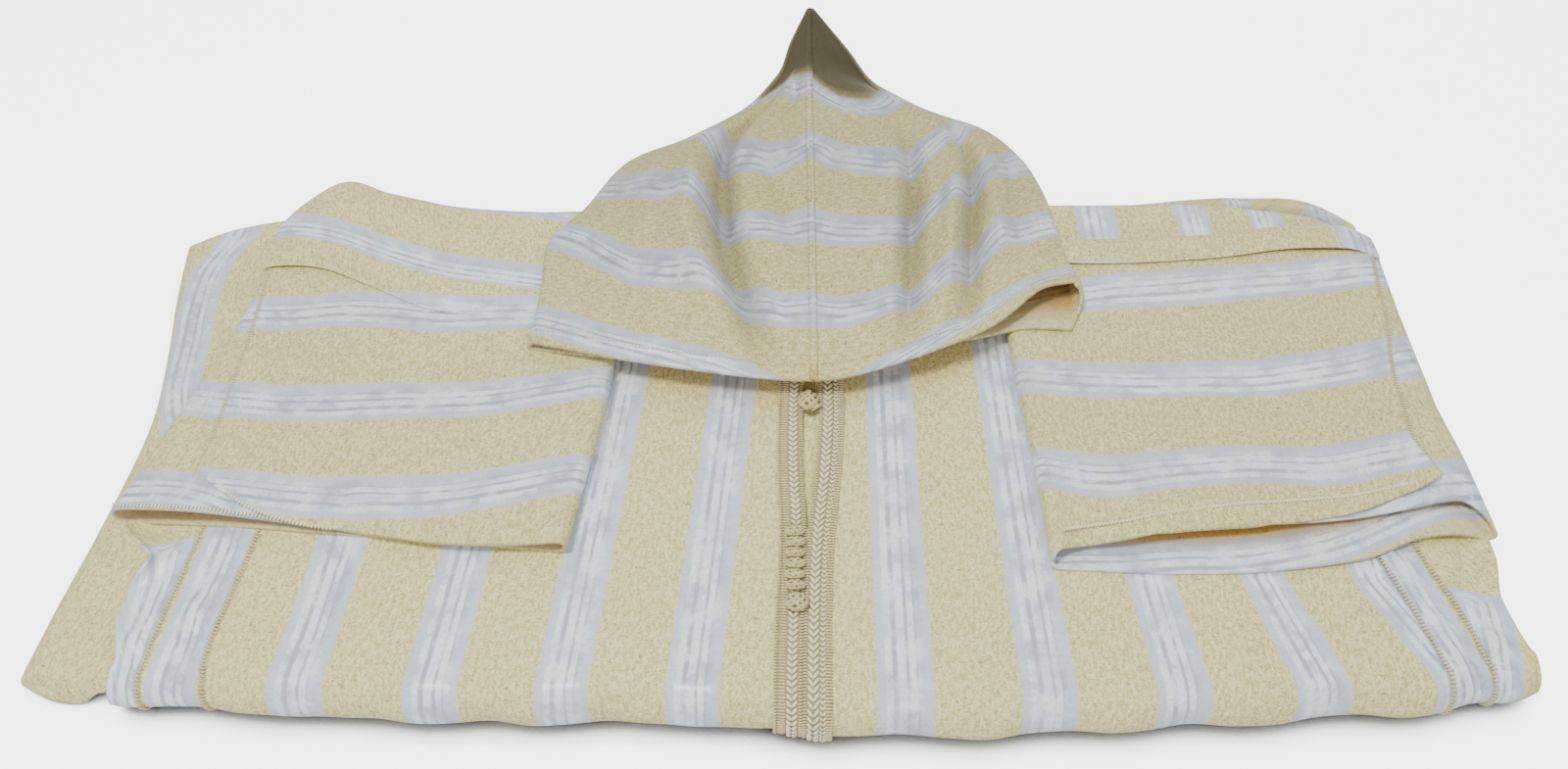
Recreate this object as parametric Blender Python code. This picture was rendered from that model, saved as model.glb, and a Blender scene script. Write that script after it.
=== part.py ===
"""A hooded kaftan, folded and laid flat with its front up and its hood spread over the chest.

Layout frame while modelling: x runs across the garment, y runs away from the viewer, z is up, in centimetres.
The near edge is a fold: each front piece runs over the top of the stack, round that fold and back underneath.
Every cloth piece is a wall of CLOTH thickness with closed rims.
"""

import bpy
import numpy as np

CM = 0.01
CENTRE_X, CENTRE_Y = -1.80, 3.18  # middle of the footprint, moved to the origin at the end

# Cloth
CLOTH = 0.20  # one layer, a slubby weave about 2 mm thick
GAP = 0.04  # between pieces that lie on each other
SEAM = 0.03  # between pieces that are sewn edge to edge
ROLL = 1.5  # how far the near fold reaches back before the top is flat

# The stack across its width: where its near edge lies and how thick it is
STACK_X = (-39.5, -37.5, -34.0, -29.0, -20.0, -6.0, 5.0, 15.0, 25.0, 32.0, 35.0, 37.0)
STACK_NEAR = (-16.1, -17.0, -17.2, -17.6, -18.2, -18.4, -19.0, -18.6, -18.0, -17.4, -16.9, -16.0)
STACK_HIGH = (1.3, 1.7, 2.2, 2.7, 3.05, 3.2, 3.2, 3.15, 2.95, 2.62, 2.35, 2.0)

# The back panel's outline: left side, right side and far edge
LEFT_Y = (-17.0, -12.0, -6.0, 0.0, 5.0, 10.0, 14.0)
LEFT_X = (-40.1, -39.5, -38.6, -38.1, -38.7, -39.6, -40.1)
RIGHT_Y = (-16.5, -12.0, -6.0, 2.0, 8.0, 12.5)
RIGHT_X = (36.0, 35.9, 35.7, 35.8, 36.0, 36.2)
FAR_X = (-39.5, -36.0, -33.0, -20.0, 0.0, 18.0, 29.0, 34.0, 37.0)
FAR_Y = (14.4, 15.6, 16.0, 16.0, 16.2, 16.6, 16.6, 15.6, 14.2)
FAR_STEP = (-0.4, -0.3, 0.2, 0.4, 0.5, 1.0, 2.2, 2.6, 1.2)  # how far the folds below reach past it

# Seams on the front, as x at the near edge and how much x grows per centimetre of y
SEAMS = {
    "gore_right_edge": (-34.6, -0.02),
    "gore_right_seam": (-32.9, 0.05),
    "front_right_seam": (-29.7, 0.0),
    "front_left_seam": (31.2, 0.0),
    "gore_left_seam": (33.7, -0.06),
    "gore_left_edge": (36.3, 0.0),
}

# Neck slit and the braid on both sides of it
SLIT_X0, SLIT_X1, SLIT_END = -0.25, 0.55, -8.3
NECK_MID, NECK_HALF = (0.3, 7.0), (7.0, 5.4)
BRAID_WIDE, BRAID_THICK, BRAID_TOP = 1.3, 0.16, 1.2
TRIM_Y = (-19.0, -13.0, -9.0, -8.0, -5.0, -1.0, 2.0)
TRIM_MIDDLE = (-0.35, -0.2, 0.0, 0.05, 0.15, 0.3, 0.35)
TRIM_HALF_GAP = (0.03, 0.03, 0.06, 0.12, 0.36, 0.48, 0.42)
KNOT_SMALL = (0.42, 0.24, 0.17)
KNOT_BIG = (0.55, 0.45, 0.27)
KNOT_TOP = (0.75, 0.60, 0.42)

# Sleeves: outer edge and inner edge from the cuff to the far end, and the height of the flattened tube
RIGHT_SLEEVE = {
    "outer": ((-36.9, -7.4), (-35.8, -3.2), (-34.4, 2.0), (-33.4, 6.0), (-33.0, 9.1)),
    "inner": ((-12.3, -10.0), (-11.6, -5.0), (-11.0, 0.0), (-10.8, 4.0), (-10.8, 7.4)),
    "high": (1.50, 1.30, 1.10, 1.05, 1.10),
    "setback": ((0.0, 0.0), (0.55, 0.3), (0.80, 1.5), (0.86, 0.3), (1.0, 0.0)),
    "lift": ((0.0, 0.0), (0.7, 0.0), (1.0, 0.1)),
}
LEFT_SLEEVE = {
    "outer": ((36.2, -9.4), (35.9, -5.0), (35.4, 0.0), (35.5, 5.0), (36.0, 9.3)),
    "inner": ((12.3, -10.9), (12.2, -6.0), (12.0, -1.5), (11.8, 3.5), (12.4, 9.3)),
    "high": (1.50, 1.30, 1.10, 1.05, 1.10),
    "setback": ((0.0, 0.2), (0.35, 1.3), (0.83, 3.7), (0.90, 3.0), (1.0, 0.0)),
    "lift": ((0.0, 0.0), (0.75, 0.1), (1.0, 0.5)),
}

# Shoulder folds behind the sleeves: near edge, far edge and crest height above the stack, across their width
RIGHT_SHOULDER = {
    "x": (-33.3, -31.5, -29.3, -26.0, -22.0, -16.0, -11.0),
    "near": (9.5, 9.5, 9.4, 9.1, 8.8, 8.3, 7.9),
    "far": (13.2, 15.0, 16.6, 15.6, 14.6, 13.9, 13.6),
    "rise": (1.1, 1.7, 2.0, 1.8, 1.5, 1.2, 1.1),
}
LEFT_SHOULDER = {
    "x": (13.6, 17.0, 24.0, 31.0, 34.5, 36.0),
    "near": (9.7, 9.7, 9.7, 9.7, 9.7, 9.7),
    "far": (12.0, 12.2, 12.7, 13.3, 13.2, 12.4),
    "rise": (1.15, 1.25, 1.3, 1.35, 1.3, 1.1),
}

# Hood: one row per section from the face edge to the tip
#       seam_y seam_z fold_x fold_y fold_z inner under_z bulge radius
HOOD_RIGHT = (
    (-0.1, 4.95, -15.8, 2.5, 4.30, 0.30, 4.30, 0.10, 0.42),
    (2.5, 5.5, -15.6, 4.6, 4.29, 0.30, 4.29, 0.35, 0.42),
    (5.5, 6.0, -15.5, 7.2, 4.34, 0.30, 4.34, 0.5, 0.42),
    (9.5, 6.4, -15.4, 10.4, 4.50, 0.32, 4.48, 0.6, 0.42),
    (13.5, 6.4, -13.6, 13.2, 4.36, 0.55, 4.34, 0.7, 0.42),
    (17.5, 6.2, -11.5, 18.2, 3.50, 0.97, 3.20, 0.9, 0.42),
    (20.3, 6.0, -7.9, 21.4, 2.70, 0.97, 0.60, 0.9, 0.42),
    (22.7, 6.2, -3.9, 24.0, 3.20, 0.96, 0.30, 0.5, 0.38),
    (24.0, 7.5, -1.7, 24.6, 5.20, 0.92, 3.40, 0.1, 0.30),
    (24.6, 9.3, -0.8, 24.8, 8.00, 0.80, 7.40, 0.05, 0.22),
    (25.0, 11.1, -0.15, 25.05, 10.7, 0.60, 10.5, 0.0, 0.12),
)
HOOD_LEFT = (
    (-0.1, 4.95, 16.2, 6.0, 4.34, 0.28, 4.34, 0.10, 0.42),
    (2.5, 5.5, 16.2, 7.2, 4.34, 0.30, 4.34, 0.35, 0.42),
    (5.5, 6.0, 15.7, 9.2, 4.42, 0.30, 4.42, 0.5, 0.42),
    (9.5, 6.4, 15.3, 12.0, 4.60, 0.32, 4.56, 0.6, 0.42),
    (13.5, 6.4, 15.1, 14.8, 4.20, 0.55, 4.20, 0.7, 0.42),
    (17.5, 6.2, 14.3, 18.6, 3.50, 0.97, 3.20, 0.9, 0.42),
    (20.3, 6.0, 12.4, 22.0, 2.90, 0.97, 0.60, 0.9, 0.42),
    (22.7, 6.2, 9.0, 24.0, 2.80, 0.96, 0.30, 0.9, 0.38),
    (24.0, 7.5, 5.2, 24.9, 4.10, 0.92, 3.40, 0.3, 0.30),
    (24.6, 9.3, 3.0, 25.0, 7.30, 0.80, 7.40, 0.1, 0.22),
    (25.0, 11.1, 1.1, 25.1, 10.5, 0.60, 10.5, 0.0, 0.12),
)
HOOD_SEAM_X = 0.45
# side, where the fold starts and ends along the seam, its place across at both ends, depth, half width
HOOD_FOLDS = (
    (-1, 0.5, 20.0, 0.16, 0.62, 0.34, 0.12),
    (1, 1.5, 17.0, 0.36, 0.50, 0.34, 0.10),
    (1, 2.0, 17.5, 0.58, 0.82, 0.30, 0.09),
)


def smooth(x, xs, ys):
    """A curve through the table's points with no corners."""
    xs, ys = np.asarray(xs, float), np.asarray(ys, float)
    slopes = np.gradient(ys, xs)
    x = np.clip(np.asarray(x, float), xs[0], xs[-1])
    i = np.clip(np.searchsorted(xs, x) - 1, 0, len(xs) - 2)
    step = xs[i + 1] - xs[i]
    t = (x - xs[i]) / step
    return (
        (1 + 2 * t) * (1 - t) ** 2 * ys[i]
        + t * (1 - t) ** 2 * step * slopes[i]
        + t**2 * (3 - 2 * t) * ys[i + 1]
        + t**2 * (t - 1) * step * slopes[i + 1]
    )


def near_edge(x):
    return smooth(x, STACK_X, STACK_NEAR)


def stack_top(x, y):
    """Height of the front's outer face, with the shallow rise and fall of soft layers."""
    waves = 0.07 * np.sin(0.23 * x + 0.6) * np.sin(0.27 * y + 1.2)
    return smooth(x, STACK_X, STACK_HIGH) + waves


def seam_x(name, y):
    start, slope = SEAMS[name]
    return start + slope * (np.asarray(y) + 17.0)


def normals(points, wrap):
    """Unit normals of a grid, from its tangents."""
    if wrap:
        across = np.roll(points, -1, axis=0) - np.roll(points, 1, axis=0)
    else:
        across = np.gradient(points, axis=0)
    cross = np.cross(across, np.gradient(points, axis=1))
    return cross / np.maximum(np.linalg.norm(cross, axis=2, keepdims=True), 1e-9)


def material(name, colour, rough):
    made = bpy.data.materials.new(name)
    made.use_nodes = True
    shader = made.node_tree.nodes["Principled BSDF"]
    shader.inputs["Base Color"].default_value = (*colour, 1.0)
    shader.inputs["Roughness"].default_value = rough
    return made


def volume(points, faces):
    corners = [(f[0], f[k], f[k + 1]) for f in faces for k in range(1, len(f) - 1)]
    a, b, c = (points[[corner[k] for corner in corners]] for k in range(3))
    return np.einsum("ij,ij->i", a, np.cross(b, c)).sum() / 6


def put(name, points, faces, finish):
    """A mesh object from points in centimetres, with its faces turned outward."""
    moved = (np.asarray(points, float) - (CENTRE_X, CENTRE_Y, 0.0)) * CM
    if volume(moved, faces) < 0:
        faces = [f[::-1] for f in faces]
    mesh = bpy.data.meshes.new(name)
    mesh.from_pydata(moved.tolist(), [], faces)
    mesh.update()
    made = bpy.data.objects.new(name, mesh)
    bpy.context.scene.collection.objects.link(made)
    mesh.materials.append(material(name + "_finish", *finish))
    return made


def grid_faces(rows, columns, wrap, keep=None):
    faces = []
    for i in range(rows if wrap else rows - 1):
        for j in range(columns - 1):
            if keep is None or keep[i, j]:
                k = (i + 1) % rows
                faces.append((i * columns + j, k * columns + j, k * columns + j + 1, i * columns + j + 1))
    return faces


def close_rims(faces, shift):
    """Inner faces, and rim faces along every free edge of the outer ones."""
    edges = {(f[k], f[(k + 1) % 4]) for f in faces for k in range(4)}
    inner = [tuple(index + shift for index in reversed(f)) for f in faces]
    rims = [(b, a, a + shift, b + shift) for a, b in sorted(edges) if (b, a) not in edges]
    return faces + inner + rims


def only_used(points, faces):
    used = sorted({index for f in faces for index in f})
    new = {old: k for k, old in enumerate(used)}
    return points[used], [tuple(new[index] for index in f) for f in faces]


def two_walls(name, outer, inner, finish, wrap=False, keep=None):
    """A closed solid between two grids of the same shape."""
    rows, columns = outer.shape[:2]
    faces = close_rims(grid_faces(rows, columns, wrap, keep), rows * columns)
    points = np.concatenate([outer.reshape(-1, 3), inner.reshape(-1, 3)])
    points, faces = only_used(points, faces)
    return put(name, points, faces, finish)


def over_the_fold(left, right, columns, far, high, tops, bottoms, end):
    """A grid that runs from y = far over the top, round the near fold and back underneath to y = end.

    left and right give x at a height y, high gives z over (x, y), and tops and bottoms count the steps.
    """
    share = np.asarray(columns)[:, None]
    lead = np.linspace(0.0, 1.0, tops)[None, :]
    x_near = left(-17.0) + (right(-17.0) - left(-17.0)) * share
    start = near_edge(x_near) + ROLL
    y_top = far + (start - far) * lead
    x_top = left(y_top) + (right(y_top) - left(y_top)) * share
    z_top = high(x_top, y_top)
    turn = np.radians(np.array([65.0, 40.0, 18.0, -5.0, -28.0, -52.0, -72.0, -90.0]))[None, :]
    tall = z_top[:, -1:]
    y_turn = start - ROLL * np.cos(turn)
    z_turn = tall / 2 + tall / 2 * np.sin(turn)
    y_low = start + (end - start) * np.linspace(0.0, 1.0, bottoms + 1)[None, 1:]
    x_low = np.repeat(x_near, y_low.shape[1], axis=1)
    x_turn = np.repeat(x_near, y_turn.shape[1], axis=1)
    x = np.concatenate([x_top, x_turn, x_low], axis=1)
    y = np.concatenate([y_top, y_turn, y_low], axis=1)
    z = np.concatenate([z_top, z_turn, np.zeros_like(y_low)], axis=1)
    return np.stack([x, y, z], axis=2)


def fold_sheet(name, left, right, columns, far, finish, tops=15, bottoms=5, end=12.0, hole=None):
    """One front piece as a wall over the near fold."""
    edges = (lambda y: seam_x(left, y) + SEAM / 2, lambda y: seam_x(right, y) - SEAM / 2)
    outer = over_the_fold(*edges, columns, far, stack_top, tops, bottoms, end)
    inner = outer + normals(outer, False) * CLOTH
    keep = hole(outer) if hole else None
    return two_walls(name, outer, inner, finish, keep=keep)


def neck_hole(outer):
    """The cells of the front that stay once the neck and the slit are cut."""
    middle = (outer[:-1, :-1] + outer[1:, 1:]) / 2
    x, y, z = middle[..., 0], middle[..., 1], middle[..., 2]
    slit = (x > SLIT_X0) & (x < SLIT_X1) & (y > SLIT_END)
    neck = ((x - NECK_MID[0]) / NECK_HALF[0]) ** 2 + ((y - NECK_MID[1]) / NECK_HALF[1]) ** 2 < 1
    return ~((slit | neck) & (z > 1.0))


def rounded_steps(radius, first, steps):
    """Distances in from an edge and heights as a share, over a quarter round that starts at share `first`."""
    angle = np.linspace(np.arcsin(first), np.pi / 2, steps)
    return radius * (1 - np.cos(angle)), np.sin(angle)


def joined(a, b):
    """How high a point stands where two rounded edges meet."""
    return 1 - np.minimum(((1 - a) ** 4 + (1 - b) ** 4) ** 0.25, 0.999)


def draped(x0, x1, edges, high, radius, shares, inset, counts):
    """A grid laid over a rounded block: edges are functions for left, right, near and far, shares their rims."""
    left, right, near, far = edges
    in_l, up_l = rounded_steps(radius, shares[0], 4)
    in_r, up_r = rounded_steps(radius, shares[1], 4)
    in_f, up_f = rounded_steps(radius, shares[3], 4)
    middle = np.linspace(0.0, 1.0, counts[0] + 2)[1:-1]
    flat_x = np.concatenate([x0 + in_l, x0 + radius + (x1 - x0 - 2 * radius) * middle, (x1 - in_r)[::-1]])
    up_x = np.concatenate([up_l, np.ones(counts[0]), up_r[::-1]])
    near_share = shares[2](flat_x)
    rows = []
    for k, x_flat in enumerate(flat_x):
        in_n, up_n = rounded_steps(radius, near_share[k], 5)
        steps = np.linspace(0.0, 1.0, counts[1] + 2)[1:-1]
        low, top = near(x_flat) + inset, far(x_flat) - inset
        y = np.concatenate([low + in_n, low + radius + (top - low - 2 * radius) * steps, (top - in_f)[::-1]])
        up_y = np.concatenate([up_n, np.ones(counts[1]), up_f[::-1]])
        share = (x_flat - x0) / (x1 - x0)
        x = left(y) + inset + (right(y) - left(y) - 2 * inset) * share
        z = (high(x, y) - inset) * joined(up_x[k], up_y)
        rows.append(np.stack([x, y, z], axis=1))
    return np.array(rows)


def back_edges():
    return (
        lambda y: smooth(y, LEFT_Y, LEFT_X),
        lambda y: smooth(y, RIGHT_Y, RIGHT_X),
        lambda x: near_edge(x) + 0.42,
        lambda x: smooth(x, FAR_X, FAR_Y),
    )


def back_high(x, y):
    return stack_top(x, y) - CLOTH - 1.5 * GAP


def make_back(finish):
    """The back panel over the folds below it. Its near rim is hidden in the front's fold, and shown beside it."""
    hidden = lambda x: 0.02 + 0.53 / (1 + np.exp(-(x + 35.3) * 6.0))
    shares = (0.02, 0.45, hidden, 0.45)
    outer = draped(-39.4, 36.1, back_edges(), back_high, 1.2, shares, 0.0, (16, 8))
    inner = draped(-39.4, 36.1, back_edges(), back_high, 1.2 - CLOTH, shares, CLOTH, (16, 8))
    return two_walls("back", outer, inner, finish)


def make_inner_folds(finish):
    """The hidden folds of the skirt as one rounded block with the edges of its layers round the far side."""
    left, right, near, far = back_edges()
    base = CLOTH + GAP
    # height share, how far the level stands in from the back panel's edge, and whether it steps out at the far side
    levels = (
        (0.10, 0.45, 0.0),
        (0.14, 0.20, 0.85),
        (0.19, 0.20, 1.0),
        (0.22, 0.55, 0.7),
        (0.25, 0.30, 0.5),
        (0.30, 0.30, 0.5),
        (0.33, 0.80, 0.0),
        (0.68, 1.00, 0.0),
        (0.88, 1.40, 0.0),
        (1.00, 2.00, 0.0),
    )
    across, deep = 15, 8
    share_x, share_y = np.linspace(0, 1, across), np.linspace(0, 1, deep)
    ring = [(i, 0) for i in range(across)] + [(across - 1, j) for j in range(1, deep)]
    ring += [(i, deep - 1) for i in range(across - 2, -1, -1)] + [(0, j) for j in range(deep - 2, 0, -1)]

    def place(i, j, level):
        part, inset, step = level
        x_flat = -39.4 + inset + (75.5 - 2 * inset) * share_x[i]
        low = near(x_flat) + 1.1 + 0.6 * inset
        top = far(x_flat) - inset + step * smooth(x_flat, FAR_X, FAR_STEP)
        y = low + (top - low) * share_y[j]
        x_left, x_right = left(y) + max(inset, 0.5), right(y) - inset
        x_right += 0.5 * (step > 0) * (share_y[j] > 0.2)
        x = x_left + (x_right - x_left) * share_x[i]
        high = back_high(x, y) - CLOTH - 1.5 * GAP
        return x, y, base + (high - base) * (part - 0.10) / 0.90

    points, faces = [], []
    for level in levels:
        points += [place(i, j, level) for i, j in ring]
    count = len(ring)
    for row in range(len(levels) - 1):
        for k in range(count):
            a, b = row * count + k, row * count + (k + 1) % count
            faces.append((a, b, b + count, a + count))
    for level, up in ((0, False), (len(levels) - 1, True)):
        start = len(points)
        inside = {}
        for i in range(1, across - 1):
            for j in range(1, deep - 1):
                inside[i, j] = start + len(inside)
                points.append(place(i, j, levels[level]))
        named = {spot: level * count + k for k, spot in enumerate(ring)} | inside
        for i in range(across - 1):
            for j in range(deep - 1):
                face = (named[i, j], named[i + 1, j], named[i + 1, j + 1], named[i, j + 1])
                faces.append(face if up else face[::-1])
    return put("inner_folds", points, faces, finish)


def section(width, high, flats, turns):
    """Points round a flattened tube of unit thickness share: (share across, share up) from the inner bottom."""
    half = high / 2
    angle = np.linspace(-np.pi / 2, np.pi / 2, turns + 2)[1:-1]
    run = np.linspace(half, width - half, flats)
    low = [(r, 0.0) for r in run]
    outer = [(width - half + half * np.cos(a), half + half * np.sin(a)) for a in angle]
    upper = [(r, high) for r in run[::-1]]
    inner = [(half - half * np.cos(a), half + half * np.sin(a)) for a in angle[::-1]]
    return np.array(low + outer + upper + inner)


def make_sleeve(name, table, finish):
    """A flattened open tube lying on the stack, its cuff toward the viewer and its seam along the top."""
    lead = np.linspace(0, 1, len(table["high"]))
    steps = np.array([0.0, 0.06, 0.16, 0.3, 0.45, 0.6, 0.75, 0.9, 1.0])
    outer_edge, inner_edge = np.array(table["outer"]), np.array(table["inner"])
    back_c, back_v = zip(*table["setback"])
    lift_c, lift_v = zip(*table["lift"])

    def surface(inset):
        rows = []
        for s in steps:
            a = np.array([smooth(s, lead, inner_edge[:, k]) for k in (0, 1)])
            b = np.array([smooth(s, lead, outer_edge[:, k]) for k in (0, 1)])
            high = float(smooth(s, lead, table["high"]))
            width = float(np.linalg.norm(b - a))
            ring = section(width - 2 * inset, high - 2 * inset, 10, 4)
            share = (ring[:, 0] + inset) / width
            up = ring[:, 1] + inset
            xy = a + (b - a) * share[:, None]
            fade = 1 - s
            xy[:, 1] += np.interp(share, back_c, back_v) * (up / high) ** 2 * fade
            z = stack_top(xy[:, 0], xy[:, 1]) + 1.5 * GAP + up + np.interp(share, lift_c, lift_v) * fade**2
            rows.append(np.column_stack([xy, z]))
        return np.array(rows).transpose(1, 0, 2)

    return two_walls(name, surface(0.0), surface(CLOTH), finish, wrap=True)


def make_shoulder(name, table, finish):
    """The body folded over behind a sleeve, as a rounded fold of cloth on the stack."""
    xs = np.array(table["x"])
    x0, x1 = xs[0], xs[-1]
    flat = lambda value: (lambda y: value + 0.0 * np.asarray(y))
    edges = (flat(x0), flat(x1), lambda x: smooth(x, xs, table["near"]), lambda x: smooth(x, xs, table["far"]))
    rise = lambda x, y: smooth(x, xs, table["rise"])
    shares = (0.02, 0.02, lambda x: 0.02 + 0.0 * x, 0.02)

    def surface(inset):
        grid = draped(x0, x1, edges, rise, 0.95 - inset, shares, inset, (7, 2))
        grid[..., 2] += stack_top(grid[..., 0], grid[..., 1]) + GAP
        return grid

    return two_walls(name, surface(0.0), surface(CLOTH), finish)


def hood_folds(side, y, share):
    """Broad soft troughs that run back from the face edge, a few millimetres deep."""
    depth = 0.0
    for fold_side, start, end, lean_from, lean_to, deep, wide in HOOD_FOLDS:
        if fold_side == side:
            along = np.clip((y - start) / (end - start), 0.0, 1.0)
            middle = lean_from + (lean_to - lean_from) * along
            depth = depth - deep * np.sin(np.pi * along) * np.exp(-(((share - middle) / wide) ** 2))
    return depth


def hood_section(row, side):
    """One section of a hood half: from the seam over the top to the side fold, and in again underneath."""
    seam_y, seam_z, fold_x, fold_y, fold_z, inner, under_z, bulge, radius = row
    seam_x0 = HOOD_SEAM_X + side * SEAM / 2
    span = fold_x - side * radius - seam_x0
    share = np.linspace(0.0, 1.0, 10)
    top = fold_z + 2 * radius
    over = np.column_stack(
        [
            seam_x0 + span * share,
            seam_y + (fold_y - seam_y) * share**1.55,
            seam_z + (top - seam_z) * share + bulge * 4 * share * (1 - share) + hood_folds(side, seam_y, share),
        ]
    )
    angle = np.radians([55.0, 20.0, -20.0, -55.0, -90.0])
    turn = np.column_stack(
        [
            fold_x - side * radius * (1 - np.cos(angle)),
            np.full(5, fold_y),
            fold_z + radius + radius * np.sin(angle),
        ]
    )
    back = np.array([0.35, 0.7, 1.0]) * inner
    under = np.column_stack(
        [
            turn[-1, 0] + (seam_x0 - turn[-1, 0]) * back,
            fold_y + (seam_y + 0.6 - fold_y) * back,
            fold_z + (under_z - fold_z) * back / inner,
        ]
    )
    return np.concatenate([over, turn, under])


def make_hood_half(name, table, side, finish):
    rows = np.array(table)
    lead = np.arange(len(rows))
    fine = np.array([0, 0.5, 1, 1.5, 2, 2.5, 3, 3.5, 4, 4.5, 5, 5.5, 6, 6.5, 7, 7.5, 8, 9, 10])
    dense = np.column_stack([smooth(fine, lead, rows[:, k]) for k in range(rows.shape[1])])
    outer = np.array([hood_section(row, side) for row in dense])
    thick = np.clip(dense[:, 8:9, None] * 0.5, 0.05, CLOTH)
    inward = normals(outer, False) * side
    inward[:, 0, 0] = 0.0  # the seam's faces stand square to each other
    return two_walls(name, outer, outer + inward * thick, finish)


def make_braid(name, side, finish):
    """A flat braid on the front beside the slit, down over the near fold."""
    middle = lambda y: smooth(y, TRIM_Y, TRIM_MIDDLE)
    half = lambda y: smooth(y, TRIM_Y, TRIM_HALF_GAP)
    close = lambda y: middle(y) + side * half(y)
    wide = lambda y: middle(y) + side * (half(y) + BRAID_WIDE)
    left, right = (close, wide) if side > 0 else (wide, close)
    grid = over_the_fold(left, right, np.array([0.0, 0.5, 1.0]), BRAID_TOP, stack_top, 14, 1, 0.0)[:, :20]
    out = -normals(grid, False)
    return two_walls(name, grid + out * (GAP + BRAID_THICK), grid + out * GAP, finish)


def make_knot(name, x, y, lift, size, finish):
    """A small tied knot, rounder than it is tall."""
    rings, around = 5, 8
    z = stack_top(x, y) + GAP + BRAID_THICK + lift + size[2]
    points, faces = [(x, y, z - size[2])], []
    for r in range(1, rings):
        a = np.pi * r / rings - np.pi / 2
        for k in range(around):
            b = 2 * np.pi * k / around
            points.append(
                (x + size[0] * np.cos(a) * np.cos(b), y + size[1] * np.cos(a) * np.sin(b), z + size[2] * np.sin(a))
            )
    points.append((x, y, z + size[2]))
    for k in range(around):
        n = (k + 1) % around
        faces.append((0, 1 + n, 1 + k))
        last = 1 + (rings - 2) * around
        faces.append((last + k, last + n, len(points) - 1))
        for r in range(rings - 2):
            a, b = 1 + r * around + k, 1 + r * around + n
            faces.append((a, b, b + around, a + around))
    return put(name, points, faces, finish)


def main():
    for leftover in list(bpy.data.objects):
        bpy.data.objects.remove(leftover, do_unlink=True)
    cream, hidden, braid = ((0.69, 0.59, 0.38), 0.85), ((0.60, 0.52, 0.34), 0.9), ((0.78, 0.70, 0.50), 0.6)

    wide = SEAMS["front_left_seam"][0] - SEAMS["front_right_seam"][0]
    xs = (-29.7, -26.0, -21.0, -16.0, -11.0, -7.0, -3.5, SLIT_X0, SLIT_X1, 3.8, 7.5, 11.5, 16.5, 21.5, 26.5, 31.2)
    columns = (np.array(xs) + 29.7) / wide
    fold_sheet("front", "front_right_seam", "front_left_seam", columns, 11.5, cream, tops=24, hole=neck_hole)
    strip = np.array([0.0, 0.5, 1.0])
    fold_sheet("right_gusset", "gore_right_seam", "front_right_seam", strip, 11.5, cream)
    fold_sheet("right_gore", "gore_right_edge", "gore_right_seam", strip, 11.5, cream)
    fold_sheet("left_gusset", "front_left_seam", "gore_left_seam", strip, 9.0, cream)
    fold_sheet("left_gore", "gore_left_seam", "gore_left_edge", strip, 9.0, cream)
    make_back(cream)
    make_inner_folds(hidden)
    make_sleeve("right_sleeve", RIGHT_SLEEVE, cream)
    make_sleeve("left_sleeve", LEFT_SLEEVE, cream)
    make_shoulder("right_shoulder_fold", RIGHT_SHOULDER, cream)
    make_shoulder("left_shoulder_fold", LEFT_SHOULDER, cream)
    make_hood_half("hood_right_half", HOOD_RIGHT, -1, cream)
    make_hood_half("hood_left_half", HOOD_LEFT, 1, cream)
    make_braid("braid_right", -1, braid)
    make_braid("braid_left", 1, braid)
    for k in range(6):
        make_knot(f"loop_{k + 1}", -0.62, -8.9 - 0.62 * k, GAP, KNOT_SMALL, braid)
    make_knot("knot_low", -0.55, -13.1, GAP, KNOT_BIG, braid)
    make_knot("knot_top", 0.3, -0.9, -0.07, KNOT_TOP, braid)


main()
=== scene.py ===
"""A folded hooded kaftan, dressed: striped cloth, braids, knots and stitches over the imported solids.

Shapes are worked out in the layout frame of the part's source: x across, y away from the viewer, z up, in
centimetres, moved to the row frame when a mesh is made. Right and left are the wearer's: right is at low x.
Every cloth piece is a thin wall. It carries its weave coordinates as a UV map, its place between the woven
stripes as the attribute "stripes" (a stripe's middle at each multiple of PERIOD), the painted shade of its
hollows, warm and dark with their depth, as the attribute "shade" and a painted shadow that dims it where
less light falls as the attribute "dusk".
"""

import logging
from collections.abc import Callable, Sequence
from dataclasses import dataclass, field
from enum import Enum

import bpy
import numpy as np
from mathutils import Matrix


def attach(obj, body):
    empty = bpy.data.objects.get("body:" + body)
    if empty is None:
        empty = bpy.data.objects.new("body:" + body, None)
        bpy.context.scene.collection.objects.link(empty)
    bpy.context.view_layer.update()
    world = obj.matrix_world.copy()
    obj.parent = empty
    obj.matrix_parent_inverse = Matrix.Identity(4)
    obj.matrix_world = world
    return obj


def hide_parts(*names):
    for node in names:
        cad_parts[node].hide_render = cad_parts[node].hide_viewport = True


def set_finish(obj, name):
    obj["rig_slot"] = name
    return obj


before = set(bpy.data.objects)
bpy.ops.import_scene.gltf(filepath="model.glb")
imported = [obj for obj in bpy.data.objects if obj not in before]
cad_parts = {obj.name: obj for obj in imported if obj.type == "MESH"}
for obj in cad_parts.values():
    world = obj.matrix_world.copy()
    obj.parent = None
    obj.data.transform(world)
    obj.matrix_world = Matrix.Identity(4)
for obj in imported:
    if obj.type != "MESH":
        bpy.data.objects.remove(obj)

Array = np.ndarray
Piece = bpy.types.Object
Material = bpy.types.Material
Tree, Socket = bpy.types.NodeTree, bpy.types.NodeSocket
Curve = Callable[[Array], Array]
Row = tuple[float, ...]
Pairs = tuple[tuple[float, float], ...]  # places and values
Colour = tuple[float, float, float, float]
LOG = logging.getLogger("kaftan")

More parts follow.
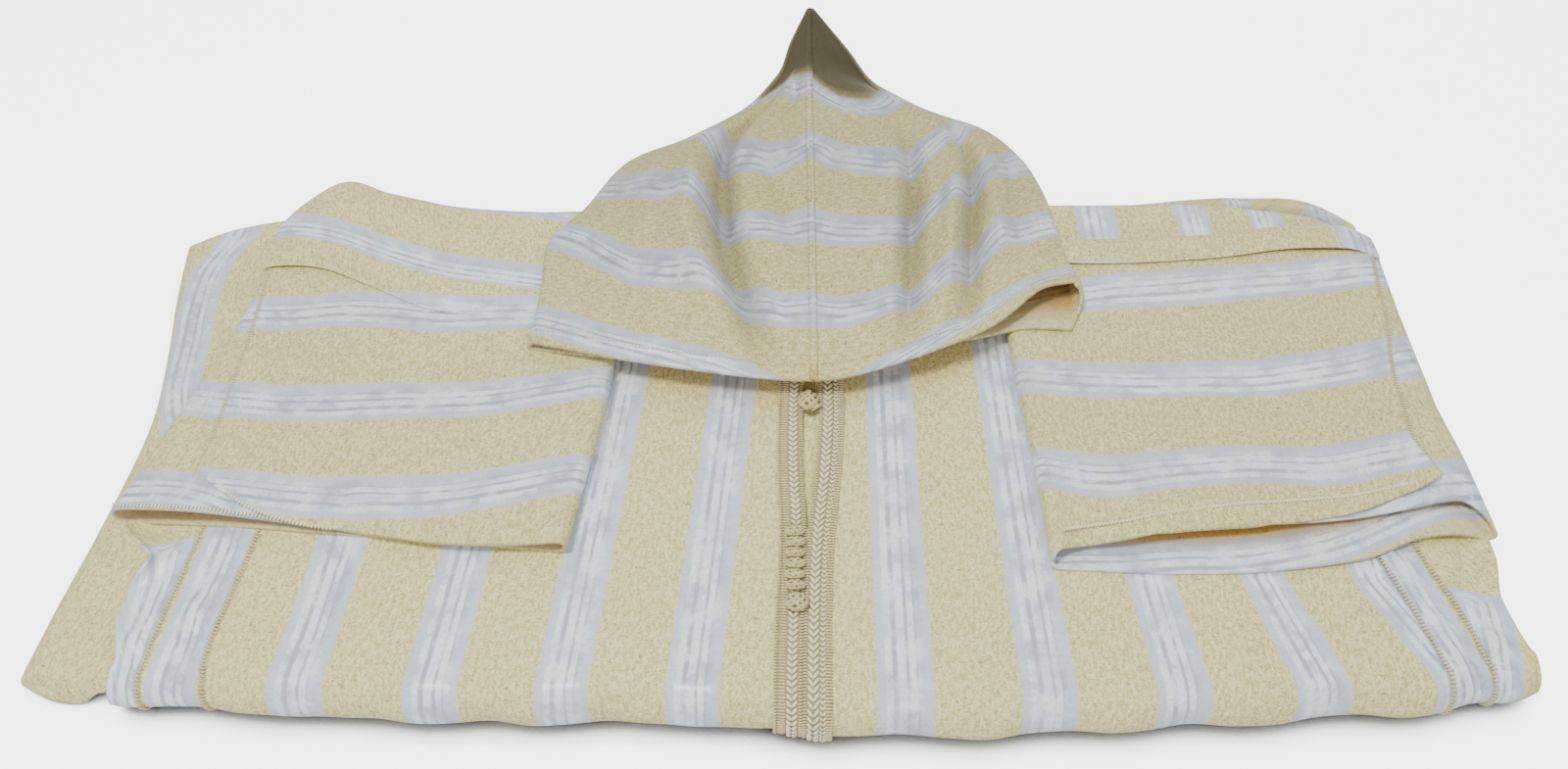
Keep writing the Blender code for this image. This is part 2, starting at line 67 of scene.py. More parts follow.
CM = 0.01
TO_CM = (100.0, 100.0, 100.0)  # metres of cloth to centimetres
CENTRE = (-1.80, 3.18, 0.0)
PERIOD = 6.5  # from one stripe's middle to the next, cm of cloth
STRIPE_HALF = 1.4  # half a stripe's width
WALL = 0.15  # a cloth wall
LAID = 0.06  # clearance between pieces that lie on each other
SEAM_GAP = 0.02  # from a seam's line to the cloth beside it
NEAR_Y = -17.0  # where seams are read for the near fold
TURN_HIGH = 1.2  # below this height the cloth turns under and its creases fade
HOOD_SEAM_X = 0.45
HOOD_LEAN = 1.55  # power by which the hood's lines bend back from its seam
TUBE_RINGS, TUBE_SIDES = 5, 6  # of a stitch

STACK_X = (-39.5, -37.5, -34.0, -29.0, -20.0, -6.0, 5.0, 15.0, 25.0, 32.0, 35.0, 37.0)
STACK_NEAR = (-16.1, -17.0, -17.2, -17.6, -18.2, -18.4, -19.0, -18.6, -18.0, -17.4, -16.9, -16.0)
STACK_HIGH = (1.3, 1.7, 2.2, 2.7, 3.05, 3.2, 3.2, 3.15, 2.95, 2.62, 2.35, 2.0)


class Side(Enum):
    """The wearer's side, as the sign of x."""

    RIGHT = -1
    LEFT = 1


class Thread(Enum):
    """Threads of the trims and seams."""

    IVORY = "ivory"
    GOLD = "gold"
    CORD = "cord"
    GROUND = "ground"
    SEAM = "seam"
    DEEP = "deep"


def smooth(x: Array, xs: Sequence[float], ys: Sequence[float]) -> Array:
    """A curve through a table's points with no corners: cubic pieces whose slopes come from the neighbours.

    Args:
        x: where to read the curve.
        xs: the table's places, rising.
        ys: the table's values.

    Returns:
        The curve's values, of the same shape as x.
    """
    at, value = np.asarray(xs, float), np.asarray(ys, float)
    slopes = np.gradient(value, at)
    x = np.clip(np.asarray(x, float), at[0], at[-1])
    i = np.clip(np.searchsorted(at, x) - 1, 0, len(at) - 2)
    step = at[i + 1] - at[i]
    t = (x - at[i]) / step
    return (
        (1 + 2 * t) * (1 - t) ** 2 * value[i]
        + t * (1 - t) ** 2 * step * slopes[i]
        + t**2 * (3 - 2 * t) * value[i + 1]
        + t**2 * (t - 1) * step * slopes[i + 1]
    )


def through(table: Pairs, at: Array) -> Array:
    """A smooth curve through a table of places and values."""
    return smooth(at, *zip(*table))


def held(value: Array, start: Array | float = 0.0, span: float = 1.0) -> Array:
    """How far a value has gone from start over span, held between 0 and 1."""
    return np.clip((value - start) / span, 0.0, 1.0)


def eased(share: Array) -> Array:
    """A share from 0 to 1 with soft ends."""
    return share**2 * (3 - 2 * share)


def bell(place: Array, middle: Array | float, half: Array | float, power: int = 2) -> Array:
    """A bump of height 1: e to minus the distance from its middle, over its half width, to an even power."""
    return np.exp(-(((place - middle) / half) ** power))


def hem_share(from_edge: Array, deep: float) -> Array:
    """1 in the hem and 0 beyond its depth, with a soft step between."""
    return 1 / (1 + np.exp((from_edge - deep) * 9.0))


def near_edge(x: Array) -> Array:
    """y of the stack's near fold at x."""
    return smooth(x, STACK_X, STACK_NEAR)


def stack_top(x: Array, y: Array) -> Array:
    """Height of the front's outer face: a table over x, and a shallow rise and fall of soft layers."""
    return smooth(x, STACK_X, STACK_HIGH) + 0.07 * np.sin(0.23 * x + 0.6) * np.sin(0.27 * y + 1.2)


def ripple(x: Array, y: Array, size: float, start: float = 0.0) -> Array:
    """Low uneven waves of limp cloth: five sines of different lengths that run in different directions.

    Args:
        x: places across, cm.
        y: places along, cm.
        size: rough height of the waves, cm.
        start: shifts the pattern, so that no two pieces wave alike.

    Returns:
        Heights of the shape of x and y.
    """
    turn = np.array([0.35, 1.15, 1.95, 2.6, 0.8])
    length = np.array([7.3, 5.1, 9.9, 3.7, 2.6])
    lead = np.asarray(x)[..., None] * np.cos(turn) + np.asarray(y)[..., None] * np.sin(turn)
    waves = np.sin(2 * np.pi * lead / length + start + 1.7 * np.arange(5)) * (length / 9.9)
    return size * waves.sum(axis=-1) / 2


@dataclass(frozen=True)
class Crease:
    """A soft trough (depth below zero) or ridge between two places on the cloth, in cm."""

    x0: float
    y0: float
    x1: float
    y1: float
    depth: float
    wide: float

    def height(self, x: Array, y: Array) -> Array:
        """Depth over the cloth: a bell across the line from end to end, which fades towards both ends."""
        dx, dy = self.x1 - self.x0, self.y1 - self.y0
        t = held((x - self.x0) * dx + (y - self.y0) * dy, 0.0, dx * dx + dy * dy)
        away = np.hypot(x - self.x0 - t * dx, y - self.y0 - t * dy)
        return self.depth * bell(away, 0.0, self.wide) * (4 * t * (1 - t)) ** 0.7


def relief(x: Array, y: Array, creases: Sequence[Crease]) -> Array:
    """The creases' heights added up."""
    return sum((c.height(x, y) for c in creases), np.zeros(np.broadcast(x, y).shape))


def stripe_place(place: Array, knots: Sequence[Array | float], values: Sequence[float]) -> Array:
    """The stripe coordinate: straight pieces between knots, which may themselves vary over the cloth.

    Args:
        place: where a point lies, on the axis that crosses the stripes.
        knots: rising places on that axis, each a number or an array like place.
        values: the stripe coordinate at each knot.

    Returns:
        The coordinate, continued past both ends at the end pieces' slopes.
    """
    total = np.full(np.shape(place), float(values[0]))
    last = len(knots) - 2
    for k in range(last + 1):
        low = -np.inf if k == 0 else 0.0
        high = np.inf if k == last else 1.0
        share = np.clip((place - knots[k]) / (knots[k + 1] - knots[k]), low, high)
        total = total + share * (values[k + 1] - values[k])
    return total


def normals(points: Array, wrap: bool) -> Array:
    """Unit normals of a grid from its two tangents; wrap says that the rows close on themselves."""
    if wrap:
        across = np.roll(points, -1, axis=0) - np.roll(points, 1, axis=0)
    else:
        across = np.gradient(points, axis=0)
    cross = np.cross(across, np.gradient(points, axis=1))
    return cross / np.maximum(np.linalg.norm(cross, axis=2, keepdims=True), 1e-9)


def arc(points: Array, axis: int) -> Array:
    """Length along a grid's lines from their first point, cm."""
    steps = np.linalg.norm(np.diff(points, axis=axis), axis=2)
    pad = [(0, 0), (0, 0)]
    pad[axis] = (1, 0)
    return np.cumsum(np.pad(steps, pad), axis=axis)


def grid_quads(rows: int, columns: int, wrap: bool) -> Array:
    """Corner numbers of a grid's quads; with wrap the last row joins the first."""
    i = np.arange(rows if wrap else rows - 1)[:, None]
    j = np.arange(columns - 1)[None, :]
    here, beside = i * columns + j, (i + 1) % rows * columns + j
    return np.stack([here, beside, beside + 1, here + 1], axis=-1).reshape(-1, 4)


def capped_quads(around: int, rows: int) -> Array:
    """Quads of a grid that closes round an even number of lines, and a strip of quads over each end ring."""
    n = np.arange(around // 2 - 1)
    cap = np.stack([n, n + 1, around - 2 - n, around - 1 - n], axis=1) * rows
    return np.concatenate([grid_quads(around, rows, True), cap[:, ::-1], cap + rows - 1])


def shell_quads(quads: Array, shift: int) -> tuple[Array, int]:
    """The wall's quads: shown faces, then hidden faces turned round, then rims along every free edge.

    Args:
        quads: the shown faces.
        shift: how far the hidden face's point numbers stand from the shown ones.

    Returns:
        All quads, and how many of them show the outer face.
    """
    start = quads.ravel()
    end = np.roll(quads, -1, axis=1).ravel()
    wide = 2 * shift
    free = ~np.isin(start * wide + end, end * wide + start)
    a, b = start[free], end[free]
    rims = np.column_stack([b, a, a + shift, b + shift])
    return np.concatenate([quads, quads[:, ::-1] + shift, rims]), len(quads)


def volume(points: Array, quads: Array) -> float:
    """Signed volume of a closed mesh of quads: above zero when its faces look outward."""
    a, b, c, d = (points[quads[:, k]] for k in range(4))
    return float(np.einsum("ij,ij->", a, np.cross(b, c)) + np.einsum("ij,ij->", a, np.cross(c, d)))


def linked(name: str, data: bpy.types.ID) -> Piece:
    """A new object in the scene."""
    made = bpy.data.objects.new(name, data)
    bpy.context.scene.collection.objects.link(made)
    return made


def mesh_object(name: str, points: Array, quads: Array, finishes: Sequence[Material]) -> Piece:
    """A smooth closed mesh in the row frame, its faces turned outward.

    Args:
        name: the piece's name.
        points: layout places in cm, one row each.
        quads: corner numbers.
        finishes: its materials in slot order.

    Returns:
        The linked object, which rides on the garment.
    """
    moved = (points - np.array(CENTRE)) * CM
    if volume(moved, quads) < 0:
        quads = quads[:, ::-1]
    mesh = bpy.data.meshes.new(name)
    mesh.vertices.add(len(moved))
    mesh.vertices.foreach_set("co", moved.astype(np.float32).ravel())
    mesh.loops.add(quads.size)
    mesh.loops.foreach_set("vertex_index", quads.astype(np.int32).ravel())
    mesh.polygons.add(len(quads))
    mesh.polygons.foreach_set("loop_start", np.arange(0, quads.size, 4, dtype=np.int32))
    mesh.update(calc_edges=True)
    mesh.polygons.foreach_set("use_smooth", np.ones(len(quads), bool))
    for finish in finishes:
        mesh.materials.append(finish)
    made = linked(name, mesh)
    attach(made, "root")
    return made


def paint(made: Piece, name: str, values: Array) -> None:
    """Keeps one number for each point of the mesh."""
    layer = made.data.attributes.new(name, "FLOAT", "POINT")
    layer.data.foreach_set("value", values.astype(np.float32).ravel())


def lay_weave(made: Piece, weave: Array) -> None:
    """Writes each point's weave coordinates, given in cm, as a UV map in metres."""
    corner = np.zeros(len(made.data.loops), np.int32)
    made.data.loops.foreach_get("vertex_index", corner)
    layer = made.data.uv_layers.new(name="weave")
    layer.data.foreach_set("uv", (weave[corner] * CM).astype(np.float32).ravel())


def second_finish(made: Piece, first: int, end: int) -> None:
    """Gives the faces from first up to end the mesh's second material."""
    slots = np.zeros(len(made.data.polygons), np.int32)
    slots[first:end] = 1
    made.data.polygons.foreach_set("material_index", slots)


def weave_of(points: Array) -> Array:
    """Weave coordinates of a grid: the lengths along its lines both ways, cm."""
    return np.stack([arc(points, 0), arc(points, 1)], axis=-1).reshape(-1, 2)


@dataclass
class ClothWall:
    """One cloth wall, given by the grid of its shown face."""

    name: str
    points: Array  # rows x columns x 3, cm
    stripes: Array
    inward: int = 1  # 1 where the hidden face lies along the grid's normal, -1 where it lies against it
    thick: float | Array = WALL
    wrap: bool = False
    keep: Array | None = None  # the cells that stay
    # shade and inner_shade: painted shade of hollows on the outer and the inner face
    shade: Array | float = 0.0
    inner_shade: Array | float | None = None
    # painted shadow that darkens the wall where less light falls on it
    dusk: Array | float = 0.0

    def build(self, finishes: Sequence[Material]) -> Piece:
        """Makes the wall: a hidden grid set in by the thickness, and rims between the two.

        Args:
            finishes: the outer face's material and the inner face's.

        Returns:
            The piece's object.
        """
        shape = self.points.shape[:2]
        thick = np.broadcast_to(np.asarray(self.thick, float), shape)[..., None]
        inner = self.points + self.inward * normals(self.points, self.wrap) * thick
        inner[..., 2] = np.maximum(inner[..., 2], 0.0)
        quads = grid_quads(*shape, self.wrap)
        if self.keep is not None:
            quads = quads[self.keep.ravel()]
        quads, shown = shell_quads(quads, shape[0] * shape[1])
        places = np.concatenate([self.points.reshape(-1, 3), inner.reshape(-1, 3)])
        used, numbers = np.unique(quads, return_inverse=True)
        made = mesh_object(self.name, places[used], numbers.reshape(-1, 4), finishes)
        second_finish(made, shown, 2 * shown)
        lay_weave(made, np.concatenate([weave_of(self.points)] * 2)[used])
        inner_shade = self.shade if self.inner_shade is None else self.inner_shade
        for label, faces in (
            ("stripes", (self.stripes, self.stripes)),
            ("shade", (self.shade, inner_shade)),
            ("dusk", (self.dusk, self.dusk)),
        ):
            paint(made, label, np.concatenate([np.broadcast_to(v, shape).ravel() for v in faces])[used])
        return made


def tube_quads(count: int, rings: int, around: int, closed: bool) -> Array:
    """Quads of many like tubes, point order tube, ring, place round it; open tubes of six sides get end caps.

    Args:
        count: how many tubes.
        rings: rings in each.
        around: points in a ring.
        closed: whether the last ring joins the first.

    Returns:
        The quads of all tubes.
    """
    ring = np.arange(rings if closed else rings - 1)[:, None] * around
    after = (ring + around) % (rings * around)
    k = np.arange(around)[None, :]
    beside = (k + 1) % around
    one = np.stack([ring + k, after + k, after + beside, ring + beside], axis=-1).reshape(-1, 4)
    if not closed:
        cap = np.array([[0, 1, 2, 3], [0, 3, 4, 5]])
        one = np.concatenate([one, cap, cap[:, ::-1] + (rings - 1) * around])
    return (one[None] + (np.arange(count) * rings * around)[:, None, None]).reshape(-1, 4)


def unit(v: Array) -> Array:
    """The same directions with length one."""
    return v / np.maximum(np.linalg.norm(v, axis=-1, keepdims=True), 1e-9)


def stitch_tubes(centres: Array, heading: Array, up: Array, long: float, thick: float, rise: float) -> Array:
    """Short arched threads: along each, a half-wave rise and a radius that rounds off at both ends.

    Args:
        centres: where each stitch sits.
        heading: its direction along the cloth.
        up: away from the cloth.
        long: its length, cm.
        thick: its radius, cm.
        rise: how far its middle stands up, cm.

    Returns:
        Points of shape stitch, ring, place round it, 3.
    """
    t = np.linspace(-1.0, 1.0, TUBE_RINGS)
    heading, up = unit(heading), unit(up)
    side = unit(np.cross(heading, up))
    middle = centres[:, None] + heading[:, None] * (t * long / 2)[:, None]
    middle = middle + up[:, None] * ((1 - t**2) * rise)[:, None]
    radius = thick * np.sqrt(1.04 - t**2)[None, :, None, None]
    turn = np.arange(TUBE_SIDES) * 2 * np.pi / TUBE_SIDES
    round_it = side[:, None, None] * np.cos(turn)[:, None] + up[:, None, None] * np.sin(turn)[:, None]
    return middle[:, :, None] + round_it * radius


def along_path(path: Array, pitch: float) -> tuple[Array, Array]:
    """Places at an even pitch on a path of points, in cm, and the path's unit direction at each."""
    steps = np.linalg.norm(np.diff(path, axis=0), axis=1)
    length = np.concatenate([[0.0], np.cumsum(steps)])
    at = np.arange(pitch / 2, length[-1], pitch)
    places = np.stack([np.interp(at, length, path[:, k]) for k in range(3)], axis=1)
    heading = np.gradient(path, axis=0)
    return places, unit(np.stack([np.interp(at, length, heading[:, k]) for k in range(3)], axis=1))


def cord_ring(path: Array, centre: Array, thick: float, around: int = 8) -> Array:
    """A closed cord: circles of radius thick set square to a closed path, their tops away from the centre."""
    heading = unit(np.roll(path, -1, axis=0) - np.roll(path, 1, axis=0))
    out = path - centre
    side = unit(np.cross(heading, out))
    up = np.cross(side, heading)
    turn = np.arange(around) * 2 * np.pi / around
    round_it = side[:, None] * np.cos(turn)[:, None] + up[:, None] * np.sin(turn)[:, None]
    return path[:, None] + thick * round_it


class Graph:
    """Nodes of one tree, put in and joined in short calls."""

    def __init__(self, tree: Tree) -> None:
        """Keeps the tree."""
        self.tree = tree

    def add(self, kind: str, inputs: dict | None = None, **settings: object) -> bpy.types.Node:
        """A new node.

        Args:
            kind: the node's type.
            inputs: by name or number, the socket or the constant that each input takes.
            settings: its own properties.

        Returns:
            The node.
        """
        node = self.tree.nodes.new(kind)
        for key, value in settings.items():
            setattr(node, key, value)
        for key, value in (inputs or {}).items():
            self.feed(node.inputs[key], value)
        return node

    def feed(self, socket: Socket, value: object) -> None:
        """Links a socket to another, or gives it a constant."""
        if isinstance(value, Socket):
            self.tree.links.new(value, socket)
        else:
            socket.default_value = value

    def math(self, how: str, *values: object, clamp: bool = False) -> Socket:
        """One operation on up to three values."""
        return self.add("ShaderNodeMath", dict(enumerate(values)), operation=how, use_clamp=clamp).outputs[0]

    def times(self, a: object, b: object, clamp: bool = False) -> Socket:
        """One value times another."""
        return self.math("MULTIPLY", a, b, clamp=clamp)

    def plus(self, a: object, b: object, clamp: bool = False) -> Socket:
        """Two values added."""
        return self.math("ADD", a, b, clamp=clamp)

    def mix(self, share: object, a: object, b: object, how: str = "MIX") -> Socket:
        """Two colours mixed by a share."""
        return self.add("ShaderNodeMix", {0: share, 6: a, 7: b}, data_type="RGBA", blend_type=how).outputs[2]

    def span(
        self, value: object, low: float, high: float, to_low: float = 0.0, to_high: float = 1.0
    ) -> Socket:
        """A value carried from one range to another with soft ends."""
        values = dict(enumerate((value, low, high, to_low, to_high)))
        return self.add("ShaderNodeMapRange", values, interpolation_type="SMOOTHSTEP").outputs[0]

    def noise(self, vector: object, scale: float, detail: float = 2.0, rough: float = 0.5) -> Socket:
        """Noise between about 0.2 and 0.8."""
        values = {"Vector": vector, "Scale": scale, "Detail": detail, "Roughness": rough}
        return self.add("ShaderNodeTexNoise", values).outputs["Fac"]

    def stretch(self, vector: object, scale: tuple[float, float, float]) -> Socket:
        """A vector with each axis scaled."""
        return self.add("ShaderNodeVectorMath", {0: vector, 1: scale}, operation="MULTIPLY").outputs[0]

    def kept(self, name: str) -> Socket:
        """The number that the mesh keeps under a name."""
        return self.add("ShaderNodeAttribute", attribute_name=name).outputs["Fac"]

    def bump(self, height: object, strength: float, distance: float) -> Socket:
        """A normal tilted by a height."""
        values = {"Height": height, "Strength": strength, "Distance": distance}
        return self.add("ShaderNodeBump", values).outputs[0]

    def ramp(self, value: object, stops: Sequence[tuple[float, Colour]]) -> Socket:
        """A colour for each value between the stops."""
        node = self.add("ShaderNodeValToRGB", {0: value})
        points = node.color_ramp.elements
        points[0].position, points[1].position = stops[0][0], stops[-1][0]
        points[0].color, points[1].color = stops[0][1], stops[-1][1]
        for place, colour in stops[1:-1]:
            points.new(place).color = colour
        return node.outputs[0]


def srgb(red: float, green: float, blue: float) -> Colour:
    """Linear colour of screen values 0 to 255."""
    c = np.array([red, green, blue]) / 255
    return (*(float(v) for v in np.where(c <= 0.04045, c / 12.92, ((c + 0.055) / 1.055) ** 2.4)), 1.0)


def new_group(name: str, ins: dict[str, str], outs: dict[str, str]) -> tuple[Graph, dict, dict]:
    """An empty node group.

    Args:
        name: its name.
        ins: kinds of its inputs by name, such as Float.
        outs: kinds of its outputs by name.

    Returns:
        Its graph, the sockets that bring its inputs and the sockets that take its outputs.
    """
    tree = bpy.data.node_groups.new(name, "ShaderNodeTree")
    for way, sockets in (("INPUT", ins), ("OUTPUT", outs)):
        for label, kind in sockets.items():
            tree.interface.new_socket(name=label, in_out=way, socket_type="NodeSocket" + kind)
    graph = Graph(tree)
    given, taken = graph.add("NodeGroupInput"), graph.add("NodeGroupOutput")
    return graph, {n: given.outputs[n] for n in ins}, {n: taken.inputs[n] for n in outs}


def new_material(name: str) -> tuple[Material, Graph, bpy.types.Node]:
    """A material with nodes, its graph and its Principled shader."""
    made = bpy.data.materials.new(name)
    made.use_nodes = True
    return made, Graph(made.node_tree), made.node_tree.nodes["Principled BSDF"]


@dataclass(frozen=True)
class SlubWeave:
    """Effect of the ground cloth: a plain weave with uneven slubs, a mottled tone and short dark flecks."""

    threads: float = 9.0  # a centimetre

    def group(self) -> Tree:
        """The group: Weave in metres in; Height, Tone and Fleck out, each 0 to 1."""
        outs = {"Height": "Float", "Tone": "Float", "Fleck": "Float"}
        g, given, out = new_group("slub_weave", {"Weave": "Vector"}, outs)
        cm = g.stretch(given["Weave"], TO_CM)
        parts = g.add("ShaderNodeSeparateXYZ", {0: cm})
        turn = 2 * np.pi * self.threads
        warp = g.math("SINE", g.times(parts.outputs[0], turn))
        weft = g.math("SINE", g.times(parts.outputs[1], turn * 0.9))
        cross = g.math("MULTIPLY_ADD", g.times(warp, weft), 0.25, 0.5)
        slub = g.noise(g.stretch(cm, (1.0, 0.45, 1.0)), 5.0, 3.0, 0.6)
        grain = g.noise(cm, 8.0, 2.0, 0.7)
        height = g.plus(g.times(cross, 0.35), g.plus(g.times(slub, 0.75), g.times(grain, 0.5)))
        g.feed(out["Height"], g.times(height, 0.75, clamp=True))
        cloud = g.noise(cm, 0.35)
        tone = g.plus(g.times(g.span(slub, 0.36, 0.64), 0.45), g.times(g.span(grain, 0.36, 0.64), 0.45))
        g.feed(out["Tone"], g.plus(tone, g.times(cloud, 0.2), clamp=True))
        fine = g.noise(g.stretch(cm, (0.7, 1.5, 1.0)), 4.6, 1.0, 0.4)
        rare = g.noise(cm, 0.9, 1.0)
        g.feed(out["Fleck"], g.times(g.span(fine, 0.62, 0.72), g.span(rare, 0.35, 0.6)))
        return g.tree


@dataclass(frozen=True)
class SatinStripe:
    """Effect of the woven stripe: a satin band with painted gleaming and greyer runs, fine grey lines and
    soft edges.
    """

    half: float = STRIPE_HALF

    def group(self) -> Tree:
        """The group: Across in cm and Weave in metres in; Colour, Band and Satin out."""
        outs = {"Colour": "Color", "Band": "Float", "Satin": "Float"}
        g, given, out = new_group("satin_stripe", {"Across": "Float", "Weave": "Vector"}, outs)
        cm = g.stretch(given["Weave"], TO_CM)
        wander = g.math("MULTIPLY_ADD", g.noise(cm, 2.2, 2.0, 0.6), 0.12, -0.06)
        place = g.math("WRAP", g.plus(given["Across"], wander), PERIOD / 2, -PERIOD / 2)
        away = g.math("ABSOLUTE", place)
        share = g.math("DIVIDE", g.plus(place, self.half), 2 * self.half, clamp=True)
        edge, lilac = srgb(212, 212, 206), srgb(201, 209, 225)
        bright, grey = srgb(240, 248, 255), srgb(170, 180, 196)
        stops = (
            (0.00, edge), (0.05, lilac), (0.17, lilac), (0.20, bright), (0.29, bright), (0.32, grey),
            (0.38, grey), (0.41, bright), (0.53, bright), (0.555, grey), (0.585, grey), (0.61, bright),
            (0.69, bright), (0.72, grey), (0.745, lilac), (0.93, lilac), (1.00, edge),
        )  # fmt: skip
        cloud = g.span(g.noise(cm, 0.42, 2.0, 0.6), 0.42, 0.62)
        thread = g.span(g.noise(cm, 5.0, 3.0, 0.65), 0.4, 0.7)
        flat = g.mix(g.times(cloud, 0.55), g.ramp(share, stops), lilac)
        # painted highlights and painted shade on the satin: in patches some runs are painted gleaming, some
        # grey
        turn = g.noise(cm, 0.62, 3.0, 0.6)
        centre = g.span(away, self.half * 0.5, self.half * 0.8, 1.0, 0.25)
        gleam = g.times(g.span(turn, 0.5, 0.64), centre)
        dull = g.times(g.span(turn, 0.36, 0.48, 1.0, 0.0), centre)
        lit = g.mix(g.times(gleam, 0.7), flat, srgb(246, 252, 255))
        grey_run = g.mix(g.times(dull, 0.6), lit, srgb(166, 175, 190))
        g.feed(out["Colour"], g.mix(g.times(thread, 0.35), grey_run, srgb(170, 178, 192)))
        g.feed(out["Band"], g.span(away, self.half - 0.26, self.half + 0.08, 1.0, 0.0))
        g.feed(out["Satin"], g.span(away, self.half * 0.62, self.half * 0.72, 1.0, 0.35))
        return g.tree


@dataclass(frozen=True)
class HollowShade:
    """Painted shade of a hollow: the cloth's colour is painted warm, then dark, with the hollow's depth."""

    def group(self) -> Tree:
        """The group: Colour and Depth in, Colour out."""
        g, given, out = new_group("hollow_shade", {"Colour": "Color", "Depth": "Float"}, {"Colour": "Color"})
        warm = g.mix(1.0, given["Colour"], srgb(236, 190, 112), "MULTIPLY")
        deep = g.mix(1.0, given["Colour"], srgb(168, 118, 60), "MULTIPLY")
        first = g.mix(g.span(given["Depth"], 0.0, 0.55), given["Colour"], warm)
        g.feed(out["Colour"], g.mix(g.span(given["Depth"], 0.45, 1.0), first, deep))
        return g.tree


@dataclass(frozen=True)
class StripedCloth:
    """Finish of the cloth: cream ground with satin stripes."""

    name: str
    cream: Colour
    pale: Colour
    bump: float = 0.00045

    def material(self, weave: Tree, stripe: Tree, hollow: Tree) -> Material:
        """Builds the material from the shared effects.

        Args:
            weave: the slub weave group.
            stripe: the satin stripe group.
            hollow: the hollow shade group.

        Returns:
            The material.
        """
        made, g, shader = new_material(self.name)
        uv = g.add("ShaderNodeUVMap", uv_map="weave").outputs[0]
        ground = g.add("ShaderNodeGroup", {"Weave": uv}, node_tree=weave).outputs
        band = g.add("ShaderNodeGroup", {"Across": g.kept("stripes"), "Weave": uv}, node_tree=stripe).outputs
        cream = g.mix(ground["Tone"], self.cream, self.pale)
        flecked = g.mix(g.times(ground["Fleck"], 0.7), cream, srgb(140, 128, 100))
        cloth = g.mix(band["Band"], flecked, band["Colour"])
        # painted shade: the hollow's depth turns the colour warm, then dark
        values = {"Colour": cloth, "Depth": g.kept("shade")}
        shade = g.add("ShaderNodeGroup", values, node_tree=hollow).outputs
        # painted shadow: the colour is mixed toward dark olive where less light falls
        dim = g.times(g.kept("dusk"), 0.92, clamp=True)
        g.feed(shader.inputs["Base Color"], g.mix(dim, shade["Colour"], srgb(74, 66, 46)))
        satin = g.times(band["Band"], band["Satin"])
        g.feed(shader.inputs["Roughness"], g.span(satin, 0.0, 1.0, 0.86, 0.3))
        rough = g.times(ground["Height"], g.span(band["Band"], 0.0, 1.0, 1.0, 0.35))
        g.feed(shader.inputs["Normal"], g.bump(rough, 0.7, self.bump))
        shader.inputs["Sheen Weight"].default_value = 0.18
        shader.inputs["Sheen Roughness"].default_value = 0.45
        return made


@dataclass(frozen=True)
class TwistedThread:
    """Finish of threads and cords: a tone that varies along them and a fine slanting twist."""

    name: str
    light: Colour
    dark: Colour
    rough: float = 0.5
    waves: float = 2600.0 / 6.28  # scale of the twist

    def material(self) -> Material:
        """Builds the material: waves that slant across the piece give twist and tone."""
        made, g, shader = new_material(self.name)
        place = g.add("ShaderNodeTexCoord").outputs["Object"]
        values = {"Vector": place, "Scale": self.waves, "Distortion": 1.2, "Detail": 1.0}
        node = g.add("ShaderNodeTexWave", values, wave_type="BANDS", bands_direction="DIAGONAL")
        twist = node.outputs["Fac"]
        blend = g.plus(g.times(twist, 0.45), g.times(g.noise(place, 420.0), 0.6), clamp=True)
        g.feed(shader.inputs["Base Color"], g.mix(blend, self.dark, self.light))
        g.feed(shader.inputs["Normal"], g.bump(twist, 0.6, 0.0003))
        g.feed(shader.inputs["Roughness"], g.span(blend, 0.0, 1.0, self.rough + 0.15, self.rough))
        shader.inputs["Sheen Weight"].default_value = 0.15
        return made


CLOTH = StripedCloth("cream_striped_cloth", srgb(175, 161, 91), srgb(249, 240, 179))
WRONG_SIDE = StripedCloth("cream_cloth_wrong_side", srgb(205, 188, 134), srgb(240, 226, 178), 0.0003)
THREADS = {
    Thread.IVORY: TwistedThread("ivory_silk_thread", srgb(255, 250, 222), srgb(226, 212, 168), 0.36),
    Thread.GOLD: TwistedThread("gold_beige_thread", srgb(244, 232, 186), srgb(196, 178, 122), 0.4),
    Thread.CORD: TwistedThread("wound_cord", srgb(244, 230, 174), srgb(158, 136, 80), 0.4),
    # the braid's own band colour, made darker as painted shade in the gaps between the chain's stitches
    Thread.GROUND: TwistedThread("band_ground", srgb(190, 174, 122), srgb(126, 110, 68), 0.6),
    # the knot's inner ball, painted dark as the shade between the cord's rings
    Thread.DEEP: TwistedThread("knot_inside", srgb(150, 130, 80), srgb(104, 86, 48), 0.7),
    Thread.SEAM: TwistedThread("seam_thread", srgb(244, 234, 188), srgb(170, 152, 98), 0.5),
}


@dataclass
class Finishes:
    """All materials of the garment."""

    pair: tuple[Material, Material] = field(init=False)  # outer face's cloth, inner face's
    threads: dict[Thread, Material] = field(init=False)

    def __post_init__(self) -> None:
        """Builds the shared effects and every finish once."""
        groups = (SlubWeave().group(), SatinStripe().group(), HollowShade().group())
        self.pair = (CLOTH.material(*groups), WRONG_SIDE.material(*groups))
        self.threads = {thread: finish.material() for thread, finish in THREADS.items()}

    def sewn(self, name: str, runs: Sequence[Array], thread: Thread, slot: str) -> Piece:
        """One piece from the tube points of several runs of stitches, in one thread and the record's slot."""
        points = np.concatenate(runs)
        quads = tube_quads(len(points), TUBE_RINGS, TUBE_SIDES, False)
        made = mesh_object(name, points.reshape(-1, 3), quads, [self.threads[thread]])
        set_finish(made, slot)
        return made


